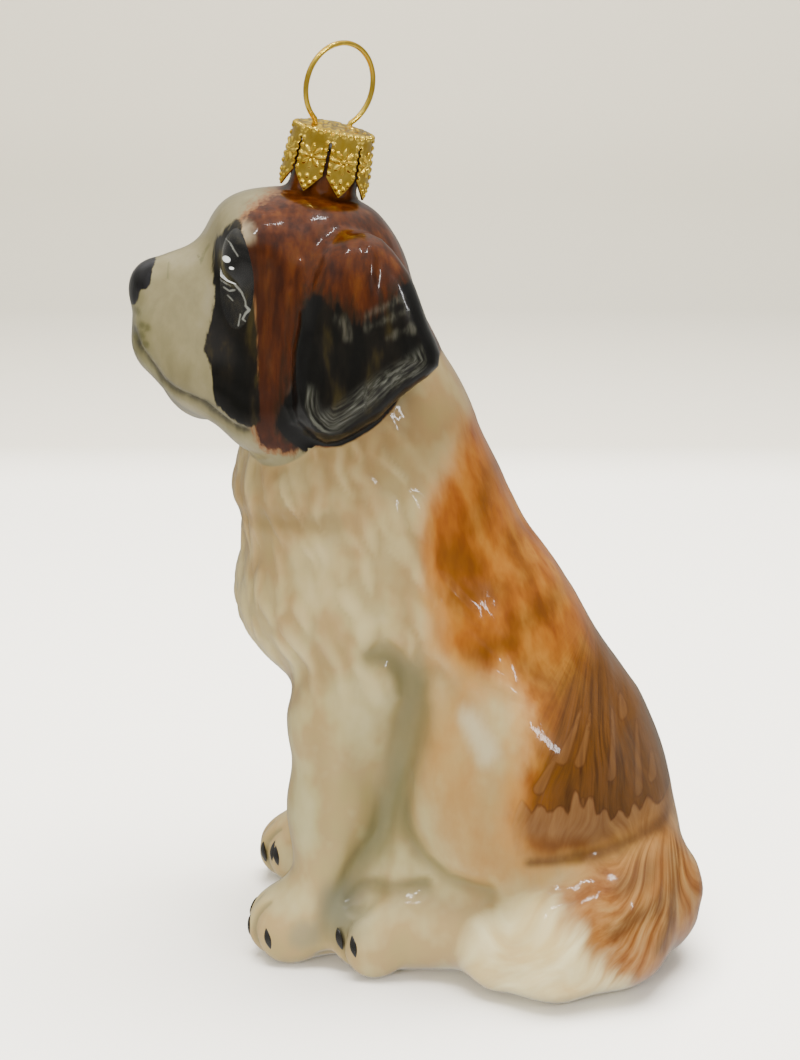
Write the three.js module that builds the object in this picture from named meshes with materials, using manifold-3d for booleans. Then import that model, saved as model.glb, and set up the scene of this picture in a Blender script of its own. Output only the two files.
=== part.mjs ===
// A mouth-blown glass Christmas ornament in the form of a sitting Saint Bernard, with a stamped
// metal cap and a wire hanging ring. Millimetres, +Z up. The dog looks along -Y, its left side is +X,
// and it stands on z = 0 with the centre of its bounding box over the origin.
//
// The glass is one smooth form, so it is written as one field: a function that is negative inside
// the form and positive outside, blended from ellipsoids and tapered limbs. Each named piece of the
// dog is that form, made into a mesh over the piece's own box, and trimmed to the piece's region.
import * as THREE from "three";
import { mergeVertices } from "three/addons/utils/BufferGeometryUtils.js";
import Module from "manifold-3d";

const wasm = await Module();
wasm.setup();

// Driving sizes
const gap = 0.3; // left between neighbouring pieces
const toCentre = [-3.41, -2.75, 0]; // brings the bounding box's centre over the origin
const headTurn = 5; // degrees, towards the dog's left
const headPivotY = -9;

const degrees = Math.PI / 180;
const { hypot, abs, min, max, sin, cos, sqrt } = Math;

// Fields: each is (x, y, z) => distance in millimetres, negative inside

// An ellipsoid, pitched about the X axis so that a positive angle lifts its +Y end.
function ellipsoid([cx, cy, cz], [rx, ry, rz], pitch = 0) {
  const c = cos(pitch * degrees);
  const s = sin(pitch * degrees);
  return (x, y, z) => {
    const dx = x - cx;
    const dy = (y - cy) * c + (z - cz) * s;
    const dz = (z - cz) * c - (y - cy) * s;
    const k0 = hypot(dx / rx, dy / ry, dz / rz);
    const k1 = hypot(dx / rx ** 2, dy / ry ** 2, dz / rz ** 2);
    return k1 < 1e-9 ? -min(rx, ry, rz) : (k0 * (k0 - 1)) / k1;
  };
}

// A round limb from a to b whose radius runs from ra to rb.
function limb(a, ra, b, rb) {
  const ab = b.map((v, i) => v - a[i]);
  const len2 = ab[0] ** 2 + ab[1] ** 2 + ab[2] ** 2;
  return (x, y, z) => {
    const along = ((x - a[0]) * ab[0] + (y - a[1]) * ab[1] + (z - a[2]) * ab[2]) / len2;
    const t = min(1, max(0, along));
    const d = hypot(x - a[0] - t * ab[0], y - a[1] - t * ab[1], z - a[2] - t * ab[2]);
    return d - (ra + t * (rb - ra));
  };
}

const smoothMin = (a, b, k) => min(a, b) - max(k - abs(a - b), 0) ** 2 / (4 * k);
const smoothMax = (a, b, k) => -smoothMin(-a, -b, k);

const blend = (k, ...fields) => (x, y, z) =>
  fields.slice(1).reduce((d, f) => smoothMin(d, f(x, y, z), k), fields[0](x, y, z));
const mirrored = (field) => (x, y, z) => field(abs(x), y, z);

// A chain of limbs through [x, y, z, radius] stations.
const chain = (stations, k) =>
  blend(k, ...stations.slice(1).map((s, i) => {
    const a = stations[i];
    return limb(a.slice(0, 3), a[3], s.slice(0, 3), s[3]);
  }));

// Cap: its place and lean on the crown, shared by the head's seat, the collar, the cap and the ring
const capFoot = [0, -10.6, 106.9]; // where the tabs' tips end
const capLean = 11.7; // degrees, towards +Y
const capHeight = 9.2;
const capTabs = 8;
const capTopRadius = 5.4;
const capFootRadius = 6.2;
const capWall = 0.5;
const collarRadius = 4.6;

// Height above the plane of the tabs' tips.
const overCapFoot = (y, z) =>
  (y - capFoot[1]) * sin(capLean * degrees) + (z - capFoot[2]) * cos(capLean * degrees);

// The head, before it is turned
const skull = ellipsoid([0, -12.6, 91.5], [15.6, 13.2, 15.2], -14);
const crown = ellipsoid([0, -13.6, 97.8], [12.8, 10.6, 9.6], 0);
const brows = mirrored(ellipsoid([7.4, -20.2, 100.4], [5.4, 4, 4.2], 14));
const eyeCentre = [8.8, -21.6, 98.4];
const eyeballs = mirrored(ellipsoid(eyeCentre, [3, 2.8, 3.2]));
const muzzle = ellipsoid([0, -26.6, 88.8], [9.8, 9.8, 9.2], -8);
const bridge = limb([0, -21, 97.2], 4.4, [0, -32, 93.6], 4.4);
const upperLips = mirrored(chain([[4.8, -31.4, 87.4, 5.2], [7, -27, 83.8, 5.2], [8.2, -20, 79.4, 5.8]], 3));
const chin = ellipsoid([0, -27.6, 80], [6, 5.2, 4.2], -35);
const nose = ellipsoid([0, -34, 94], [4.4, 2.8, 3.2], 10);
const cheeks = mirrored(ellipsoid([8.8, -15.2, 81], [7, 8, 10.4], 0));
const nape = limb([0, -10.6, 92], 11.4, [0, -7.6, 82], 13);
const face = blend(1.6, blend(3, muzzle, bridge, upperLips, chin), nose);
const headCore = blend(4, blend(4, skull, crown, nape), brows, cheeks);

// A hanging ear: an outline in the side view, pillowed in thickness.
const earOutline = [[-10.4, 101.5], [-4.5, 102.4], [-0.4, 98], [2.4, 91], [4, 86], [-0.5, 82], [-6, 77.2],
  [-11.2, 75.2], [-15.4, 79], [-15.6, 85], [-14.6, 91]];

const spaced = (points, divisions) =>
  new THREE.CatmullRomCurve3(points.map(([y, z]) => new THREE.Vector3(0, y, z)), true, "centripetal")
    .getSpacedPoints(divisions).slice(0, divisions).map((p) => [p.y, p.z]);

// Distance to a closed outline in the YZ plane, negative inside it.
const outlineDistance = (points) => (y, z) => {
  let best = Infinity;
  let inside = false;
  points.forEach(([ay, az], i) => {
    const [by, bz] = points[(i + 1) % points.length];
    const along = ((y - ay) * (by - ay) + (z - az) * (bz - az)) / ((by - ay) ** 2 + (bz - az) ** 2);
    const t = min(1, max(0, along));
    best = min(best, hypot(y - ay - t * (by - ay), z - az - t * (bz - az)));
    if (az > z !== bz > z && y < ay + ((z - az) / (bz - az)) * (by - ay)) inside = !inside;
  });
  return inside ? -best : best;
};

const earEdge = outlineDistance(spaced(earOutline, 24));
const ear = (x, y, z) => {
  const edge = earEdge(y, z);
  if (edge > 8) return edge;
  const middle = 15.6 - 0.01 * (z - 84) ** 2;
  const inward = min(1, max(0, -edge / 6));
  const half = 1.8 + 2.4 * sqrt(1 - (1 - inward) ** 2);
  return smoothMax(edge, abs(abs(x) - middle) - half, 2);
};

const turn = headTurn * degrees;
const head = (x, y, z) => {
  const dy = y - headPivotY;
  const hx = x * cos(turn) + dy * sin(turn);
  const hy = dy * cos(turn) - x * sin(turn) + headPivotY;
  const core = smoothMin(headCore(hx, hy, z), face(hx, hy, z), 4);
  const withEyes = smoothMin(core, eyeballs(hx, hy, z), 0.8);
  const withEars = smoothMin(withEyes, ear(hx, hy, z), 1.6);
  return smoothMax(withEars, overCapFoot(y, z) + gap, 1.5);
};

// The neck and the two tiers of the ruff
const throat = chain([[0, -7.8, 82, 13.2], [0, -5.6, 72, 15.5], [0, -3.4, 60, 17], [0, -2, 50, 17.4]], 4);
const upperRuff = ellipsoid([0, -8.6, 66], [15.8, 14.4, 10], 6);
const lowerRuff = ellipsoid([0, -8, 51], [17.4, 15.2, 12.4], 6);
const neck = blend(4, throat, upperRuff, lowerRuff);

// The trunk
const trunk = chain([[0, -1.2, 59, 16.9], [0, 6.2, 42, 19.2], [0, 15.4, 25, 21.6]], 4);
const belly = ellipsoid([0, 6, 20], [13, 13, 18.4], 0);
const rump = ellipsoid([0, 19, 17.4], [23.4, 20.6, 16.2], 0);
const torso = blend(5, trunk, belly, rump);

// The legs
const foreleg = chain([[10.5, -3, 47, 9], [11.4, -7.6, 35, 6.9], [11.6, -8.4, 22, 6.2],
  [11.8, -9.4, 11, 6]], 5);
const forepaw = ellipsoid([11.7, -13.2, 5.4], [6.7, 8, 5.8], 6);
const toes = (x, y, z, length, height) =>
  blend(0.8, ...[-4.6, -1.6, 1.5, 4.4].map((dx) =>
    ellipsoid([x + dx, y + 0.09 * dx * dx, z], [1.9, length, height], 8)));
const nearForeleg = blend(1.6, blend(3, foreleg, forepaw), toes(11.7, -17.4, 4.1, 4, 3.9));
const farSpread = 0.1; // the right foreleg stands further out towards its paw
const forelegs = (x, y, z) =>
  nearForeleg(x > 0 ? x : -x - farSpread * max(0, 47 - z), y, z);

const thighs = mirrored(ellipsoid([14, 14, 27], [12.4, 15.8, 15.4], -20));
const hindfoot = chain([[16.4, 11, 7, 7], [16.4, -1.5, 6.2, 6.3]], 3);
const hindfeet = mirrored(blend(1.6, hindfoot, toes(16.6, -5.4, 4.6, 4, 4.4)));

// The tail curls round the dog's left side
const tail = chain([[2, 32, 10.2, 9], [13, 32.5, 9.8, 9.4], [21.6, 28.4, 8.9, 8.8], [25.4, 21, 7.2, 7.2],
  [24, 14, 5.6, 5.5]], 3);

// The crease that parts each foreleg from the flank and the thigh
const crease = mirrored(chain([[20.4, -1.6, 47.4, 1.2], [21.4, 2, 44.4, 2.2], [21.4, 0.4, 37, 2.4],
  [20.4, -1.6, 28, 2.4], [19.4, -3.8, 18, 2.2], [18.6, -5.4, 11, 1.6]], 2));

const legged = blend(3, blend(5, blend(4, torso, neck), thighs), forelegs, hindfeet);
const creased = (x, y, z) => smoothMax(legged(x, y, z), -crease(x, y, z), 2.4);
const dog = (x, y, z) => smoothMin(smoothMin(creased(x, y, z), head(x, y, z), 1.2), tail(x, y, z), 4.4);

// Where two inside corners of a grid square meet only across its diagonal, the shallower one is let
// go, so that every edge of the mesh has two faces.
function letGoOfDiagonals(value, n) {
  const stride = [1, n[0], n[0] * n[1]];
  const total = value.length;
  for (let changed = true; changed; ) {
    changed = false;
    for (const [u, w] of [[0, 1], [1, 2], [0, 2]])
      for (let a = 0; a + stride[u] + stride[w] < total; a++) {
        const b = a + stride[u];
        const c = b + stride[w];
        const d = a + stride[w];
        const inside = [value[a] < 0, value[b] < 0, value[c] < 0, value[d] < 0];
        if (inside[0] !== inside[2] || inside[1] !== inside[3] || inside[0] === inside[1]) continue;
        const [p, q] = inside[0] ? [a, c] : [b, d];
        value[value[p] > value[q] ? p : q] = 1e-3;
        changed = true;
      }
  }
}

// Surface nets: one vertex in each grid cell that the surface crosses, and a quad round each grid
// edge that it crosses.
function meshOf(field, low, high, cell) {
  const n = low.map((v, i) => Math.ceil((high[i] - v) / cell) + 1);
  const at = (i, j, k) => i + n[0] * (j + n[1] * k);
  const value = new Float64Array(n[0] * n[1] * n[2]);
  for (let k = 0; k < n[2]; k++)
    for (let j = 0; j < n[1]; j++)
      for (let i = 0; i < n[0]; i++) {
        const rim = i === 0 || j === 0 || k === 0 || i === n[0] - 1 || j === n[1] - 1 || k === n[2] - 1;
        const d = field(low[0] + i * cell, low[1] + j * cell, low[2] + k * cell);
        value[at(i, j, k)] = rim ? max(d, cell / 2) : d;
      }
  letGoOfDiagonals(value, n);
  const corners = [0, 1, 2, 3, 4, 5, 6, 7].map((c) => [c & 1, (c >> 1) & 1, (c >> 2) & 1]);
  const edges = corners.flatMap((a, i) =>
    corners.slice(i + 1).filter((b) => abs(a[0] - b[0]) + abs(a[1] - b[1]) + abs(a[2] - b[2]) === 1)
      .map((b) => [a, b]));
  const vertexOf = new Map();
  const vertices = [];
  for (let k = 0; k < n[2] - 1; k++)
    for (let j = 0; j < n[1] - 1; j++)
      for (let i = 0; i < n[0] - 1; i++) {
        const sum = [0, 0, 0];
        let crossings = 0;
        for (const [a, b] of edges) {
          const va = value[at(i + a[0], j + a[1], k + a[2])];
          const vb = value[at(i + b[0], j + b[1], k + b[2])];
          if (va < 0 === vb < 0) continue;
          const t = va / (va - vb);
          for (let m = 0; m < 3; m++) sum[m] += a[m] + t * (b[m] - a[m]);
          crossings++;
        }
        if (!crossings) continue;
        const cellAt = [i, j, k];
        vertexOf.set(at(i, j, k), vertices.length);
        vertices.push(sum.map((v, m) => low[m] + (cellAt[m] + v / crossings) * cell));
      }
  const faces = [];
  const steps = [[1, 0, 0], [0, 1, 0], [0, 0, 1]];
  const distance = (p, q) => hypot(p[0] - q[0], p[1] - q[1], p[2] - q[2]);
  for (let k = 0; k < n[2] - 1; k++)
    for (let j = 0; j < n[1] - 1; j++)
      for (let i = 0; i < n[0] - 1; i++)
        for (let m = 0; m < 3; m++) {
          const s = steps[m];
          if ([i, j, k].some((v, axis) => axis !== m && v === 0)) continue;
          const va = value[at(i, j, k)];
          const vb = value[at(i + s[0], j + s[1], k + s[2])];
          if (va < 0 === vb < 0) continue;
          const u = steps[(m + 1) % 3];
          const w = steps[(m + 2) % 3];
          const quad = [[0, 0], [1, 0], [1, 1], [0, 1]].map(([p, q]) =>
            vertexOf.get(at(i - p * u[0] - q * w[0], j - p * u[1] - q * w[1], k - p * u[2] - q * w[2])));
          if (va >= 0) quad.reverse();
          const [a, b, c, d] = quad;
          const shortAC = distance(vertices[a], vertices[c]) < distance(vertices[b], vertices[d]);
          faces.push(...(shortAC ? [a, b, c, a, c, d] : [b, c, d, b, d, a]));
        }
  return { vertices, faces };
}

// Moves each vertex along the field's slope onto the surface, at most half a cell.
function settle(field, vertices, cell) {
  const e = 0.02;
  const reach = cell / 2;
  for (const p of vertices) {
    const start = [...p];
    for (let step = 0; step < 2; step++) {
      const d = field(...p);
      const slope = [0, 1, 2].map((m) => {
        const q = [...p];
        q[m] += e;
        return (field(...q) - d) / e;
      });
      const steep = slope[0] ** 2 + slope[1] ** 2 + slope[2] ** 2;
      if (steep < 1e-6) break;
      for (let m = 0; m < 3; m++) p[m] -= (d * slope[m]) / steep;
    }
    for (let m = 0; m < 3; m++) p[m] = min(start[m] + reach, max(start[m] - reach, p[m]));
  }
}

const solidFrom = (vertexList, faceList) =>
  new wasm.Manifold(new wasm.Mesh({
    numProp: 3,
    vertProperties: new Float32Array(vertexList),
    triVerts: new Uint32Array(faceList),
  }));

// A field's form within a box, as a closed solid.
function formIn(field, [low, high], cell) {
  const { vertices, faces } = meshOf(field, low, high, cell);
  settle(field, vertices, cell);
  return solidFrom(vertices.flat(), faces);
}

// A three.js geometry as a solid, with its shared vertices merged.
function solidOf(geometry) {
  const bare = geometry.clone();
  bare.deleteAttribute("normal");
  bare.deleteAttribute("uv");
  const merged = mergeVertices(bare, 1e-4);
  return solidFrom(merged.attributes.position.array, merged.index.array);
}

function geometryOf(solid) {
  const mesh = solid.getMesh();
  return new THREE.BufferGeometry()
    .setAttribute("position", new THREE.BufferAttribute(mesh.vertProperties, 3))
    .setIndex(new THREE.BufferAttribute(mesh.triVerts, 1));
}

const largestOf = (solid) =>
  solid.decompose().reduce((best, s) => (s.volume() > best.volume() ? s : best));

// Regions. Each takes a margin, so that a neighbour can be trimmed a gap away from it.

// An outline of [a, b] points moved outwards by a margin.
function grow(points, margin) {
  const n = points.length;
  const area = points.reduce((sum, [ay, az], i) => {
    const [by, bz] = points[(i + 1) % n];
    return sum + ay * bz - by * az;
  }, 0);
  const side = Math.sign(area) * margin;
  const normal = ([ay, az], [by, bz]) => {
    const length = hypot(by - ay, bz - az);
    return [(bz - az) / length, (ay - by) / length];
  };
  return points.map((p, i) => {
    const [ay, az] = normal(points[(i + n - 1) % n], p);
    const [by, bz] = normal(p, points[(i + 1) % n]);
    const mitre = side / (1 + ay * by + az * bz);
    return [p[0] + (ay + by) * mitre, p[1] + (az + bz) * mitre];
  });
}

const prism = (points, depth) =>
  new THREE.ExtrudeGeometry(new THREE.Shape(points.map(([a, b]) => new THREE.Vector2(a, b))), {
    depth,
    bevelEnabled: false,
  });

// A side-view outline pushed through X.
const slab = (points, fromX, toX) => (margin) => {
  const geometry = prism(grow(points, margin), toX - fromX + 2 * margin);
  geometry.rotateX(Math.PI / 2).rotateZ(Math.PI / 2); // the shape's own x and y become Y and Z
  return solidOf(geometry.translate(fromX - margin, 0, 0));
};

// A top-view outline pushed through Z.
const column = (points, fromZ, toZ) => (margin) =>
  solidOf(prism(grow(points, margin), toZ - fromZ + 2 * margin).translate(0, 0, fromZ - margin));

const ball = ([x, y, z], [rx, ry, rz]) => (margin) =>
  solidOf(new THREE.SphereGeometry(1, 14, 9)
    .scale(rx + margin, ry + margin, rz + margin).translate(x, y, z));

const withTurn = (region) => (margin) =>
  region(margin).translate([0, -headPivotY, 0]).rotate([0, 0, headTurn]).translate([0, headPivotY, 0]);
const onOtherSide = (region) => (margin) => region(margin).mirror([1, 0, 0]);
const joined = (...regions) => (margin) => wasm.Manifold.union(regions.map((r) => r(margin)));

const wide = 60; // past the form on every side

const eyeRegion = ball(eyeCentre, [3.4, 3.4, 3.5]);
const noseRegion = ball([0, -35.2, 94.2], [5, 3.6, 3.8]);
const earRegion = slab(spaced(earOutline, 30), 13, 30);
const headRegion = slab([[-wide, 70], [-24, 70.4], [-16, 70], [-9, 73.4], [-2, 79.2], [5, 85.4], [12, 88.4],
  [wide, 92], [wide, 130], [-wide, 130]], -wide, wide);
const neckRegion = slab([[-wide, 36], [-24, 37.6], [-14, 41], [-6, 46], [2, 54], [8, 62.4], [14, 70.6],
  [wide, 74], [wide, 130], [-wide, 130]], -wide, wide);
const forelegRegion = slab([[-32, -3], [-32, 60], [-7, 50], [-2, 47], [3.2, 43.4], [1.5, 38], [-1.4, 30],
  [-2.2, 23], [-2.8, 15], [-3.6, 8], [-4, -3]], 4.4, 26);
const hindfootRegion = column([[10.6, 15], [10.6, -3.6], [19.6, -11.6], [wide, -12], [wide, 15]], -3, 15);
const haunchRegion = slab([[33, -3], [-4, -3], [-3.6, 8], [-2.8, 15], [-2.2, 23], [-1.4, 30], [1.5, 38],
  [5, 41.5], [15, 42.5], [25, 39.5], [32.5, 32], [35, 22], [33, 12]], 11, wide);
const hindlegRegion = joined(haunchRegion, hindfootRegion);
const tailPath = [[-8, 33, 10, 10.4], [2, 33.4, 10, 10.6], [13, 33.4, 9.8, 11], [22, 29, 8.8, 10.6],
  [26.6, 21, 7.2, 8.6], [26, 15.4, 5.4, 6.2]];
const tailRegion = (margin) =>
  formIn(chain(tailPath.map(([x, y, z, r]) => [x, y, z, r + margin]), 3), [[-24, -2, -14], [44, 50, 30]], 4);

const glass = (color) => new THREE.MeshStandardMaterial({ color, roughness: 0.12, metalness: 0 });
const cream = glass(0xe9e0c8);
const rust = glass(0xa9622a);
const black = glass(0x17161a);
const umber = glass(0x3a2618);

// Every piece of the dog, foremost first: where two regions meet, the earlier keeps the place.
const pieces = [
  { name: "eye_left", region: withTurn(eyeRegion), box: [[4, -29, 93], [17, -16, 104]],
    cell: 1.1, look: black },
  { name: "eye_right", region: withTurn(onOtherSide(eyeRegion)), box: [[-17, -31, 93], [-3, -18, 104]],
    cell: 1.1, look: black },
  { name: "nose", region: withTurn(noseRegion), box: [[-6, -42, 88], [11, -29, 101]],
    cell: 1.5, look: black },
  { name: "ear_left", region: withTurn(earRegion), box: [[8, -20, 72], [26, 10, 106]],
    cell: 2.1, look: umber },
  { name: "ear_right", region: withTurn(onOtherSide(earRegion)), box: [[-26, -24, 72], [-8, 8, 106]],
    cell: 2.1, look: umber },
  { name: "head", region: headRegion, box: [[-21, -42, 66], [24, 14, 112]], cell: 2.6, look: rust },
  { name: "neck", region: neckRegion, box: [[-24, -30, 32], [24, 22, 92]], cell: 3.2, look: cream },
  { name: "tail", region: tailRegion, box: [[-22, 0, -6], [40, 48, 24]], cell: 3, look: rust },
  { name: "hindleg_left", region: hindlegRegion, box: [[7, -16, -6], [34, 38, 48]], cell: 2.7, look: cream },
  { name: "hindleg_right", region: onOtherSide(hindlegRegion), box: [[-34, -16, -6], [-7, 38, 48]],
    cell: 2.7, look: cream },
  { name: "foreleg_left", region: forelegRegion, box: [[0, -28, -6], [26, 8, 54]], cell: 2.7, look: cream },
  { name: "foreleg_right", region: onOtherSide(forelegRegion), box: [[-28, -28, -6], [0, 8, 54]],
    cell: 2.7, look: cream },
  { name: "torso", region: null, box: [[-30, -24, -6], [30, 46, 76]], cell: 3.6, look: rust },
];

const underFloor = solidOf(new THREE.BoxGeometry(200, 200, 40).translate(0, 0, -20));
const group = new THREE.Group();
const add = (name, geometry, material) => {
  const mesh = new THREE.Mesh(geometry, material);
  mesh.name = name;
  group.add(mesh);
};

const taken = [underFloor];
for (const { name, region, box, cell, look } of pieces) {
  const whole = formIn(dog, box, cell).subtract(wasm.Manifold.union(taken));
  add(name, geometryOf(largestOf(region ? whole.intersect(region(0)) : whole)), look);
  if (region) taken.push(region(gap));
}

// The crown's glass collar, the cap and the ring are made upright over the cap's foot, then leaned
const onCrown = (geometry) => geometry.rotateX(-capLean * degrees).translate(...capFoot);
const lathe = (points, sides) => {
  const profile = points.map(([r, z]) => new THREE.Vector2(r, z));
  return new THREE.LatheGeometry(profile, sides).rotateX(Math.PI / 2);
};

const collarTop = 6;
add("glass_collar", onCrown(lathe([[0, 0], [collarRadius + 0.5, 0], [collarRadius, 0.6],
  [collarRadius, collarTop - 0.3], [collarRadius - 0.3, collarTop], [0, collarTop]], 24)), glass(0x7a3d1c));

// The cap is a thin pressing: a shell with a domed top, slit into pointed tabs, with rows of beads
const shoulder = capHeight - 0.9;
const shellOutside = [[capFootRadius, 0], [capTopRadius + 0.1, shoulder - 0.6],
  [capTopRadius - 0.3, shoulder], [capTopRadius - 0.9, capHeight - 0.45], [0, capHeight]];
const shellInside = [[0, capHeight - capWall], [capTopRadius - 1.1, capHeight - 0.45 - capWall],
  [capTopRadius - capWall, shoulder - 0.8], [capFootRadius - capWall, 0]];
const shell = solidOf(lathe([...shellOutside.toReversed(), ...shellInside.toReversed()].reverse(), 40));

const pitch = (2 * Math.PI) / capTabs;
const slitTop = 7.1;
const pointHeight = 2.5;
const notchHalf = capFootRadius * sin(pitch / 2) * 1.02;
const slitFoot = 0.3; // half the slit's width at its foot
const slitHead = 0.18;
const notch = [[-notchHalf, -0.4], [notchHalf, -0.4], [slitFoot, pointHeight], [slitHead, slitTop],
  [-slitHead, slitTop], [-slitFoot, pointHeight]];
const notches = Array.from({ length: capTabs }, (_, i) => {
  const geometry = prism(notch, 6).rotateX(Math.PI / 2).translate(0, -2.5, 0);
  return solidOf(geometry.rotateZ(i * pitch));
});

const beadRadius = 0.36;
const wallRadius = (z) => capFootRadius + ((capTopRadius + 0.1 - capFootRadius) * z) / (shoulder - 0.6);
const bead = (angle, radius, z) =>
  solidOf(new THREE.OctahedronGeometry(beadRadius)
    .translate(0, -radius, z).rotateZ(angle));
const tabSide = [[0, 1], [0.5, 2.2], [0.72, 4]]; // of a half tab, height
const beads = Array.from({ length: capTabs }, (_, i) =>
  tabSide.flatMap(([across, z]) => [-1, 1].slice(across ? 0 : 1).map((side) =>
    bead((i + 0.5 + (side * across) / 2) * pitch, wallRadius(z), z)))).flat();
const rimBeads = Array.from({ length: 3 * capTabs }, (_, i) =>
  bead(((i + 0.5) * pitch) / 3, wallRadius(7.5), 7.5));

// The ring is one wire: most of a circle, with two legs down through the cap's top
const wireRadius = 0.4;
const ringRadius = 5.7;
const ringAbove = 5; // from the cap's top to the ring's middle
const ringShift = -0.5; // of the ring's middle off the cap's axis
const ringTurn = 40; // degrees, about the cap's axis
const openAngle = Math.acos((ringAbove - 0.25) / ringRadius);
const legHalf = ringRadius * sin(openAngle) - 0.3;
const ringPoint = (angle) => [-sin(angle) * ringRadius, cos(angle) * ringRadius];
const ringSteps = 24;
const ringPath = [
  [legHalf, -ringAbove - capWall - 1.6],
  [legHalf, -ringAbove - 0.6],
  ...Array.from({ length: ringSteps + 1 }, (_, i) =>
    ringPoint((i / ringSteps - 0.5) * 2 * (Math.PI - openAngle))),
  [-legHalf, -ringAbove - 0.6],
  [-legHalf, -ringAbove - capWall - 1.6],
];
const onRingPlane = (a, up) =>
  new THREE.Vector3(-a * sin(ringTurn * degrees), a * cos(ringTurn * degrees), up);
const ringCurve = new THREE.CatmullRomCurve3(ringPath.map(([a, b]) =>
  onRingPlane(a + ringShift, b + capHeight + ringAbove)));
const wireSection = new THREE.Shape().absarc(0, 0, wireRadius, 0, 2 * Math.PI);
const wire = new THREE.ExtrudeGeometry(wireSection, { steps: 44, curveSegments: 4, extrudePath: ringCurve });

const holeRadius = wireRadius + gap + 0.1;
const wireHoles = [-1, 1].map((side) => solidOf(
  new THREE.CylinderGeometry(holeRadius, holeRadius, 3, 12).rotateX(Math.PI / 2)
    .translate(...onRingPlane(ringShift + side * legHalf, capHeight - 0.6))));
const cap = wasm.Manifold.union([shell, ...beads, ...rimBeads])
  .subtract(wasm.Manifold.union([...notches, ...wireHoles]));

const gilt = new THREE.MeshStandardMaterial({ color: 0xd2a23c, roughness: 0.32, metalness: 1 });
add("cap", onCrown(geometryOf(largestOf(cap))), gilt);
add("hanging_ring", onCrown(geometryOf(solidOf(wire))), gilt);

group.children.forEach((mesh) => mesh.geometry.translate(...toCentre));

export default group;
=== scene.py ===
# %% [markdown]
# # A blown glass Saint Bernard
# A Christmas ornament of painted glass: a sitting dog, blown into a mould, silvered inside, painted
# by hand and lacquered. A stamped gilt cap is clipped over the glass pipe on its crown, and a wire
# ring hangs it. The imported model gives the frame, in metres: the dog looks along -Y, its left side
# is +X, and it stands on z = 0.

import math

import bmesh
import bpy
import numpy as np
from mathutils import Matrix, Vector


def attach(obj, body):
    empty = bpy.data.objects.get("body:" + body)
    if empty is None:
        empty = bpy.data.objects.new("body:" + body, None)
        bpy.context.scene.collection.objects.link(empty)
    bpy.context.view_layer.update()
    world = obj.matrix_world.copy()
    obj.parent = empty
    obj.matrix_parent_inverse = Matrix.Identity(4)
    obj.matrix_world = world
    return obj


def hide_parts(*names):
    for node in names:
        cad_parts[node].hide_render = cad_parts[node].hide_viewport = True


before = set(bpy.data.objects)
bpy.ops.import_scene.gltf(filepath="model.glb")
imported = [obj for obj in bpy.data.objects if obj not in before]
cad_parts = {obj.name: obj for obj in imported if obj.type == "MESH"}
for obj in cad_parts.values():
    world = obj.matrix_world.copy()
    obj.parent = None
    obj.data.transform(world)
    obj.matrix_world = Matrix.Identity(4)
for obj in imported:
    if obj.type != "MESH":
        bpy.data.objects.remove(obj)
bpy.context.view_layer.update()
MM = 0.001
TO_CENTRE = np.array([-3.41, -2.75, 0.0])  # brings the CAD box's centre over the origin

# %% [markdown]
# ## Colours, nodes and meshes
# A paint's colour is given as sRGB hex, as it is read off a chart, and one function turns it to
# linear. A material is a tree of nodes, and one small function adds a node, sets it and links it.
# Every shape below is worked out in millimetres, and goes to metres only as it becomes a mesh.


# %% Helpers
def linear(hex_colour):
    """Each sRGB channel c becomes c / 12.92 near black, and ((c + 0.055) / 1.055) ** 2.4 above it."""
    channels = [int(hex_colour[i:i + 2], 16) / 255 for i in (0, 2, 4)]
    return [c / 12.92 if c <= 0.04045 else ((c + 0.055) / 1.055) ** 2.4 for c in channels] + [1.0]


def add(tree, kind, inputs=None, stops=(), **settings):
    """Adds one node. An input given as an output socket is linked, and any other value is set.

    Stops are a colour ramp's (place, sRGB hex) pairs.
    """
    new = tree.nodes.new("ShaderNode" + kind)
    for name, value in settings.items():
        setattr(new, name, value)
    for i, (at, colour) in enumerate(stops):
        elements = new.color_ramp.elements
        stop = elements[i] if i < 2 else elements.new(at)
        stop.position = at
        stop.color = linear(colour)
    for key, value in (inputs or {}).items():
        if isinstance(value, bpy.types.NodeSocket):
            tree.links.new(value, new.inputs[key])
        else:
            new.inputs[key].default_value = value
    return new


def new_material(name, **shader):
    """A material with one Principled shader. It returns the material, its tree and the shader."""
    material = bpy.data.materials.new(name)
    material.use_nodes = True
    tree = material.node_tree
    tree.nodes.clear()
    bsdf = add(tree, "BsdfPrincipled", shader)
    add(tree, "OutputMaterial", {"Surface": bsdf.outputs["BSDF"]})
    return material, tree, bsdf


def mesh_object(name, points, faces, material, **values):
    """Points in millimetres become a mesh in metres. Each value is kept as a point attribute."""
    mesh = bpy.data.meshes.new(name)
    mesh.from_pydata(((points + TO_CENTRE) * MM).tolist(), [], [[int(i) for i in face] for face in faces])
    mesh.polygons.foreach_set("use_smooth", np.ones(len(mesh.polygons), bool))
    mesh.materials.append(material)
    for key, value in values.items():
        vector = np.ndim(value) == 2
        layer = mesh.attributes.new(key, "FLOAT_VECTOR" if vector else "FLOAT", "POINT")
        numbers = np.ascontiguousarray(value, np.float32).ravel()
        layer.data.foreach_set("vector" if vector else "value", numbers)
    thing = bpy.data.objects.new(name, mesh)
    bpy.context.collection.objects.link(thing)
    return thing


def ramp(value, low, high):
    """0 below low, 1 above high, and 3t^2 - 2t^3 in between."""
    t = np.clip((value - low) / (high - low), 0, 1)
    return t * t * (3 - 2 * t)


# %% [markdown]
# ## The camera
# The photo looks at the dog's left side from a little above, through a long lens, so there is
# little perspective. The camera is kept as a place, a point it aims at and a focal length.

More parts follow.
